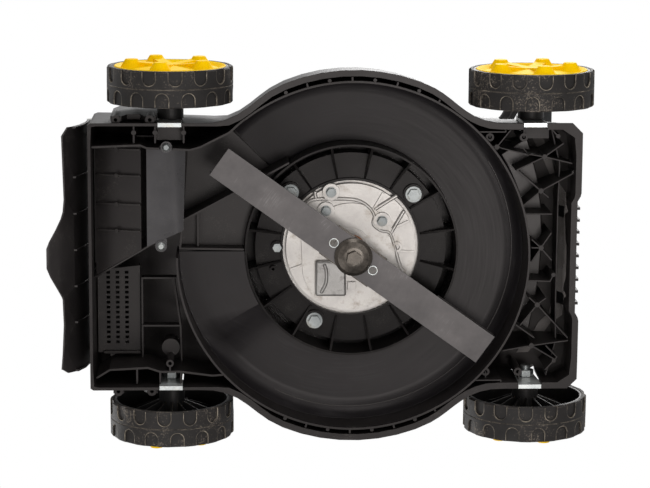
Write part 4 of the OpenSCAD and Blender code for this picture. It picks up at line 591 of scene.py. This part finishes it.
def openingLips():
    g = Growth("openingLips", [("Ring", "NodeSocketFloat", 0.044), ("Width", "NodeSocketFloat", 0.018),
                               ("Height", "NodeSocketFloat", 0.034), ("Corner", "NodeSocketFloat", 0.009),
                               ("Lip", "NodeSocketFloat", 0.0004), ("Middle", "NodeSocketVector", None)])
    loop = g.add("GeometryNodeCurvePrimitiveQuadrilateral", {"mode": "RECTANGLE"},
                 {"Width": g.value("Width"), "Height": g.value("Height")})
    loop = g.add("GeometryNodeFilletCurve", {"mode": "POLY"},
                 {0: loop, "Count": web["cornerSteps"], "Radius": g.value("Corner")})
    line = g.add("GeometryNodeCurveToMesh", {}, {
        "Curve": loop, "Profile Curve": lipProfile(g, web["lipSides"])})
    places = g.add("GeometryNodeMeshCircle", {"fill_type": "NONE"},
                   {"Vertices": web["openings"], "Radius": g.value("Ring")})
    index = g.add("GeometryNodeInputIndex")
    step = math.tau / web["openings"]
    turn = g.add("ShaderNodeCombineXYZ", {}, {"Z": g.sum("MULTIPLY", index, step)})
    rings = g.add("GeometryNodeInstanceOnPoints", {}, {"Points": places, "Instance": line, "Rotation": turn})
    upright = g.add("GeometryNodeTransform", {}, {0: rings, "Rotation": (math.pi / 2, step / 2, 0)})
    placed = g.add("GeometryNodeTransform", {}, {0: upright, "Translation": g.value("Middle")})
    g.finish(placed, flash)
    return g


lips = openingLips()
for corner in corners:
    low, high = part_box(corner + "_tyre")
    side = 1 if "left" in corner else -1
    inner = low[1] if side > 0 else high[1]
    middle = Vector(((low[0] + high[0]) / 2, inner + side * web["faceAt"], (low[2] + high[2]) / 2))
    lips.grow(corner + "_rim_lips", corner + "_wheel", "rim_plastic", Ring=web["ring"], Width=web["width"],
              Height=web["height"], Corner=web["corner"], Lip=web["lip"], Middle=middle)
print("wheel lips grown")


# cast and moulded shapes that only the photograph's side shows; measures in mm from the crankshaft

turned = {"sharpFrom": 35, "bevelFrom": 40, "bevelSteps": 3}  # how their corners are rounded, in degrees
bar = {"sides": 10, "tip": 0.7}  # a bead's section, and how far its end bulges for its radius


def fromCrank(points, z):
    return [Vector((crank.x + x / 1000, y / 1000, z / 1000)) for x, y in points]


def finished(work, name, body, finish, bevel=0.0):
    bmesh.ops.recalc_face_normals(work, faces=work.faces)
    mesh = bpy.data.meshes.new(name)
    work.to_mesh(mesh)
    work.free()
    mesh.shade_smooth()
    mesh.set_sharp_from_angle(angle=math.radians(turned["sharpFrom"]))
    mesh.materials.append(finishes[finish])
    piece = addObject(name, mesh)
    if bevel:
        edge = piece.modifiers.new("turned", "BEVEL")
        edge.width = bevel
        edge.segments = turned["bevelSteps"]
        edge.limit_method = "ANGLE"
        edge.angle_limit = math.radians(turned["bevelFrom"])
        plainMesh(piece, name)
        piece.data.shade_smooth()
    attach(piece, body)
    return piece


def slab(name, outline, low, high, body, finish, bevel):
    work = bmesh.new()
    under = [work.verts.new(p) for p in fromCrank(outline, low)]
    over = [work.verts.new(p) for p in fromCrank(outline, high)]
    work.faces.new(under)
    work.faces.new(over[::-1])
    count = len(outline)
    for i in range(count):
        j = (i + 1) % count
        work.faces.new((under[i], under[j], over[j], over[i]))
    return finished(work, name, body, finish, bevel / 1000)


def tubeAlong(work, points, radius):  # a round bead with closed, domed ends
    rings = []
    sides = bar["sides"]
    last = len(points) - 1
    for i, p in enumerate(points):
        ahead = (points[min(i + 1, last)] - points[max(i - 1, 0)]).normalized()
        side = ahead.cross(Vector((0, 0, 1))).normalized()
        over = side.cross(ahead)
        rings.append([work.verts.new(p + radius * (math.cos(a) * side + math.sin(a) * over))
                      for a in (2 * math.pi * k / sides for k in range(sides))])
    for a, b in zip(rings, rings[1:]):
        for k in range(sides):
            m = (k + 1) % sides
            work.faces.new((a[k], a[m], b[m], b[k]))
    for ring, p, way in ((rings[0], points[0], points[0] - points[1]),
                         (rings[-1], points[-1], points[-1] - points[-2])):
        tip = work.verts.new(p + way.normalized() * radius * bar["tip"])
        for k in range(sides):
            work.faces.new((ring[k], ring[(k + 1) % sides], tip))


def smoothed(points, steps=5):  # Catmull-Rom through the points
    full = [points[0]] + points + [points[-1]]
    line = []
    for a, b, c, d in zip(full, full[1:], full[2:], full[3:]):
        for i in range(steps):
            t = i / steps
            line.append(0.5 * (2 * b + (c - a) * t + (2 * a - 5 * b + 4 * c - d) * t * t
                               + (3 * b - a - 3 * c + d) * t * t * t))
    return line + [points[-1]]


# the sump's raised border and ribs, and the cover of its oil slinger, whose darker copy of the alloy is
# painted shade

sump = {"face": 93, "lipRadius": 2.0, "lipUp": 0.4, "ribRadius": 2.3, "ribUp": 1.6,
        "lip": [(-58, -48), (-50, -59), (-26, -61.2), (4.6, -59.9), (20.1, -52.4), (28.2, -41.2), (27, -30),
                (36, -22), (47, -19), (52.5, -6.8), (60.9, 21.5), (67.2, 30.9)],
        "ribs": [[(29.5, -48.3), (56, -65)], [(47.1, -14.6), (65.2, -46)], [(-44.5, -70), (-43.2, -60)],
                 [(-63, -33), (-57, -48)]],
        "pump": [(-43.8, 14.9), (-12, 14.9), (-6.2, 20), (-5.9, 58.9), (-43.6, 58.8)],
        "pumpLow": 83.5, "pumpInto": 1, "pumpBevel": 2.6,
        "hump": [(-33, 19), (-30.5, 28), (-31, 42), (-37, 54)], "humpRadius": 2.6, "humpUp": 1.2}


def dressSump():
    work = bmesh.new()
    tubeAlong(work, smoothed(fromCrank(sump["lip"], sump["face"] + sump["lipUp"])), sump["lipRadius"] / 1000)
    finished(work, "sump_cover_lip", "deck", "cast_alloy")
    work = bmesh.new()
    for rib in sump["ribs"]:
        tubeAlong(work, fromCrank(rib, sump["face"] + sump["ribUp"]), sump["ribRadius"] / 1000)
    finished(work, "sump_cast_ribs", "deck", "cast_alloy")
    slab("sump_pump_cover", sump["pump"], sump["pumpLow"], sump["face"] + sump["pumpInto"], "deck",
         "pump_cover_painted_shade", sump["pumpBevel"])
    work = bmesh.new()
    tubeAlong(work, smoothed(fromCrank(sump["hump"], sump["pumpLow"] + sump["humpUp"])),
              sump["humpRadius"] / 1000)
    finished(work, "sump_pump_hump", "deck", "pump_cover_painted_shade")


# inside the nose: a step round the chamber, and a band under the shell painted pale as painted sheen, with two
# dark patches painted where its slots' shade is

nose = {"stepLow": 84, "stepHigh": 114, "stepBevel": 1.5, "ringRadius": 216.5, "arcFrom": 25, "arcTurn": -58,
        "arcSteps": 24,
        "stepEdge": [(214, -138.6), (220.6, -116.3), (227.4, -91.6), (233.3, -54.2), (235.3, -13),
                     (232.9, 29.7), (228.7, 61.3), (220.9, 103.1)],
        "ledgeInner": [(224, -135), (235.5, -113), (248, -84), (249.5, -71), (253, -50), (254.5, -8.6),
                       (254.5, 34), (251, 66), (248, 83), (236, 98), (227, 119), (211, 140)],
        "ledgeOuter": [(235, -138), (246, -115), (251, -88), (262.5, -71), (263, -50), (264, -8.6),
                       (264, 34), (261.5, 83), (249, 97), (237, 121), (225, 138)],
        "slots": [(253, -55, 260, -41), (254, 53, 261, 68)],
        "along": 48, "across": 8, "skinDepth": 2.5, "slotDepth": 4, "skinInto": 1, "seenFrom": 45}


def underDeck():  # gives the shell's underside over a place, found by a ray from below
    mesh = nodes["deck_shell"].data
    tree = BVHTree.FromPolygons([v.co for v in mesh.vertices], [tuple(p.vertices) for p in mesh.polygons])
    return lambda p: tree.ray_cast(Vector((p.x, p.y, nose["seenFrom"] / 1000)), Vector((0, 0, 1)))[0]


def evenly(points, count):  # the polyline cut into equal lengths
    lengths = [0]
    for a, b in zip(points, points[1:]):
        lengths.append(lengths[-1] + (b - a).length)
    line = []
    for i in range(count + 1):
        want = lengths[-1] * i / count
        k = max(j for j in range(len(points) - 1) if lengths[j] <= want + 1e-9)
        line.append(points[k].lerp(points[k + 1], (want - lengths[k]) / (lengths[k + 1] - lengths[k])))
    return line


def skinUnder(name, inner, outer, depth, finish):  # a raised band that follows the shell's underside
    under = underDeck()
    inner, outer = (evenly(fromCrank(edge, 0), nose["along"]) for edge in (inner, outer))
    down = Vector((0, 0, depth / 1000))
    into = Vector((0, 0, nose["skinInto"] / 1000))
    across = nose["across"]
    work = bmesh.new()
    rows = []
    for a, b in zip(inner, outer):
        hits = [under(a.lerp(b, i / across)) for i in range(across + 1)]
        rows.append([(work.verts.new(h - down), work.verts.new(h + into)) for h in hits])
    for a, b in zip(rows, rows[1:]):
        for i in range(across):
            work.faces.new((a[i][0], b[i][0], b[i + 1][0], a[i + 1][0]))
            work.faces.new((a[i][1], a[i + 1][1], b[i + 1][1], b[i][1]))
        for i in (0, across):
            work.faces.new((a[i][0], a[i][1], b[i][1], b[i][0]))
    for row in (rows[0], rows[-1]):
        for i in range(across):
            work.faces.new((row[i][0], row[i + 1][0], row[i + 1][1], row[i][1]))
    return finished(work, name, "deck", finish)


def dressNose():
    steps = nose["arcSteps"]
    angles = [math.radians(nose["arcFrom"] + nose["arcTurn"] * i / steps) for i in range(steps + 1)]
    arc = [(nose["ringRadius"] * math.cos(a), nose["ringRadius"] * math.sin(a)) for a in angles]
    # the step in the lighter nose plastic, painted sheen
    slab("nose_step", nose["stepEdge"] + arc, nose["stepLow"], nose["stepHigh"], "deck",
         "nose_plastic", nose["stepBevel"])
    skinUnder("nose_ledge", nose["ledgeInner"], nose["ledgeOuter"], nose["skinDepth"], "ledge_plastic_painted_sheen")
    # painted shade: dark patches standing proud of the ledge where its slots are
    for i, (x0, y0, x1, y1) in enumerate(nose["slots"]):
        skinUnder("nose_slot_painted_shade_%d" % (i + 1), [(x0, y0), (x0, y1)], [(x1, y0), (x1, y1)], nose["slotDepth"],
                  "black_plastic")


# a moulded bead round the scroll's ceiling, where its flat turns down into the wall;
# the ceiling falls from high to low between the angles turn and end

bead = {"at": 200, "from": -32, "to": 118, "steps": 90, "radius": 0.9, "turn": -135, "end": 139,
        "high": 125, "low": 88, "drop": 2.9}


def dressLiner():
    line = []
    for i in range(bead["steps"] + 1):
        angle = bead["from"] + (bead["to"] - bead["from"]) * i / bead["steps"]
        share = (angle - bead["turn"]) / (bead["end"] - bead["turn"])
        height = bead["high"] + (bead["low"] - bead["high"]) * share - bead["drop"]
        a = math.radians(angle)
        line += fromCrank([(bead["at"] * math.cos(a), bead["at"] * math.sin(a))], height)
    work = bmesh.new()
    tubeAlong(work, line, bead["radius"] / 1000)
    # the bead in the lighter nose plastic, painted sheen
    finished(work, "liner_bead", "deck", "nose_plastic")


# bright chamfers round the blade's holes, and the flanges of its adapter beside it

cutter = {"turn": 35.6, "holeAt": 29, "holeRadius": 5.3, "ring": 0.7, "ringSteps": 40, "under": 35,
          "flangeHalf": 36, "flangeIn": 18.9, "flangeOut": 21.2, "flangeLow": 38, "flangeHigh": 42,
          "flangeBevel": 0.5}


def dressBlade():
    turn = math.radians(cutter["turn"])

    def onBlade(x, y):
        return (x * math.cos(turn) - y * math.sin(turn), x * math.sin(turn) + y * math.cos(turn))

    steps = cutter["ringSteps"]
    r = cutter["holeRadius"]
    work = bmesh.new()
    for side in (-1, 1):
        loop = [onBlade(side * cutter["holeAt"] + r * math.cos(math.tau * i / steps),
                        r * math.sin(math.tau * i / steps)) for i in range(steps + 1)]
        tubeAlong(work, fromCrank(loop, cutter["under"]), cutter["ring"] / 1000)
    finished(work, "blade_hole_chamfers", "drive", "zinc")
    half, near, far = (cutter[k] for k in ("flangeHalf", "flangeIn", "flangeOut"))
    for letter, side in (("a", -1), ("b", 1)):
        edge = [onBlade(x, side * y) for x, y in ((-half, near), (half, near), (half, far), (-half, far))]
        slab("adapter_flange_" + letter, edge, cutter["flangeLow"], cutter["flangeHigh"], "drive",
             "oily_steel", cutter["flangeBevel"])


dressSump()
dressNose()
dressLiner()
dressBlade()
print("sump, nose, liner and blade dressed")


# floor, background and lights

studio = {"floorHalf": 6, "floorLow": -0.0005, "floorShade": 0.86, "worldDiffuse": 0.36, "worldInGloss": 0.6,
          "lampsAimAt": (0, 0, 0.12)}
lamps = [  # name, place, width, watts
    ("key", (-1.25, 1.25, -2.1), 1.3, 17),
    ("fill", (1.3, -1.2, -2.0), 1.5, 11),
    ("by_camera", (0.42, 0.12, -2.8), 0.8, 20),
    ("right_side", (0.1, -2.4, -0.9), 1.2, 16),
    ("overhead", (0.6, -1.6, 2.4), 1.8, 60),
    ("behind", (-2.2, 1.4, 1.8), 1.6, 40),
]


def paleFloor():
    r, z = studio["floorHalf"], studio["floorLow"]
    mesh = bpy.data.meshes.new("floor")
    mesh.from_pydata([(-r, -r, z), (r, -r, z), (r, r, z), (-r, r, z)], [], [(0, 1, 2, 3)])
    floor = addObject("floor", mesh)
    material = bpy.data.materials.new("floor")
    material.use_nodes = True
    tree = material.node_tree
    tree.nodes.clear()
    end = tree.nodes.new("ShaderNodeOutputMaterial")
    either = tree.nodes.new("ShaderNodeMixShader")
    clear = tree.nodes.new("ShaderNodeBsdfTransparent")
    pale = tree.nodes.new("ShaderNodeBsdfDiffuse")
    pale.inputs[0].default_value = (*[studio["floorShade"]] * 3, 1)
    rays = tree.nodes.new("ShaderNodeLightPath")
    side = tree.nodes.new("ShaderNodeNewGeometry")
    less = tree.nodes.new("ShaderNodeMath")  # the floor is only there for a camera above it
    less.operation = "SUBTRACT"
    less.use_clamp = True
    tree.links.new(rays.outputs["Is Camera Ray"], less.inputs[0])
    tree.links.new(side.outputs["Backfacing"], less.inputs[1])
    tree.links.new(less.outputs[0], either.inputs[0])
    tree.links.new(clear.outputs[0], either.inputs[1])
    tree.links.new(pale.outputs[0], either.inputs[2])
    tree.links.new(either.outputs[0], end.inputs[0])
    mesh.materials.append(material)


def paleWorld():  # white to the camera, softer in what it lights and in gloss
    world = bpy.data.worlds.new("studio")
    bpy.context.scene.world = world
    world.use_nodes = True
    tree = world.node_tree
    back = tree.nodes["Background"]
    rays = tree.nodes.new("ShaderNodeLightPath")
    level = studio["worldDiffuse"]
    for kind, strength in (("Is Glossy Ray", studio["worldInGloss"]), ("Is Transmission Ray", 1),
                           ("Is Camera Ray", 1)):
        scaled = tree.nodes.new("ShaderNodeMath")
        scaled.operation = "MULTIPLY"
        scaled.inputs[1].default_value = strength
        tree.links.new(rays.outputs[kind], scaled.inputs[0])
        most = tree.nodes.new("ShaderNodeMath")
        most.operation = "MAXIMUM"
        tree.links.new(scaled.outputs[0], most.inputs[0])
        if isinstance(level, float):
            most.inputs[1].default_value = level
        else:
            tree.links.new(level, most.inputs[1])
        level = most.outputs[0]
    tree.links.new(level, back.inputs["Strength"])
    back.inputs[0].default_value = (1, 1, 1, 1)


def softbox(name, spot, size, watts):
    data = bpy.data.lights.new(name, "AREA")
    data.shape = "DISK"
    data.size = size
    data.energy = watts
    lamp = bpy.data.objects.new(name, data)
    lamp.location = spot
    aim = Vector(studio["lampsAimAt"]) - Vector(spot)
    lamp.rotation_euler = aim.to_track_quat("-Z", "Y").to_euler()
    bpy.context.scene.collection.objects.link(lamp)


paleFloor()
paleWorld()
bpy.context.scene.view_settings.view_transform = "Standard"
for lamp in lamps:
    softbox(*lamp)
print("studio lit")
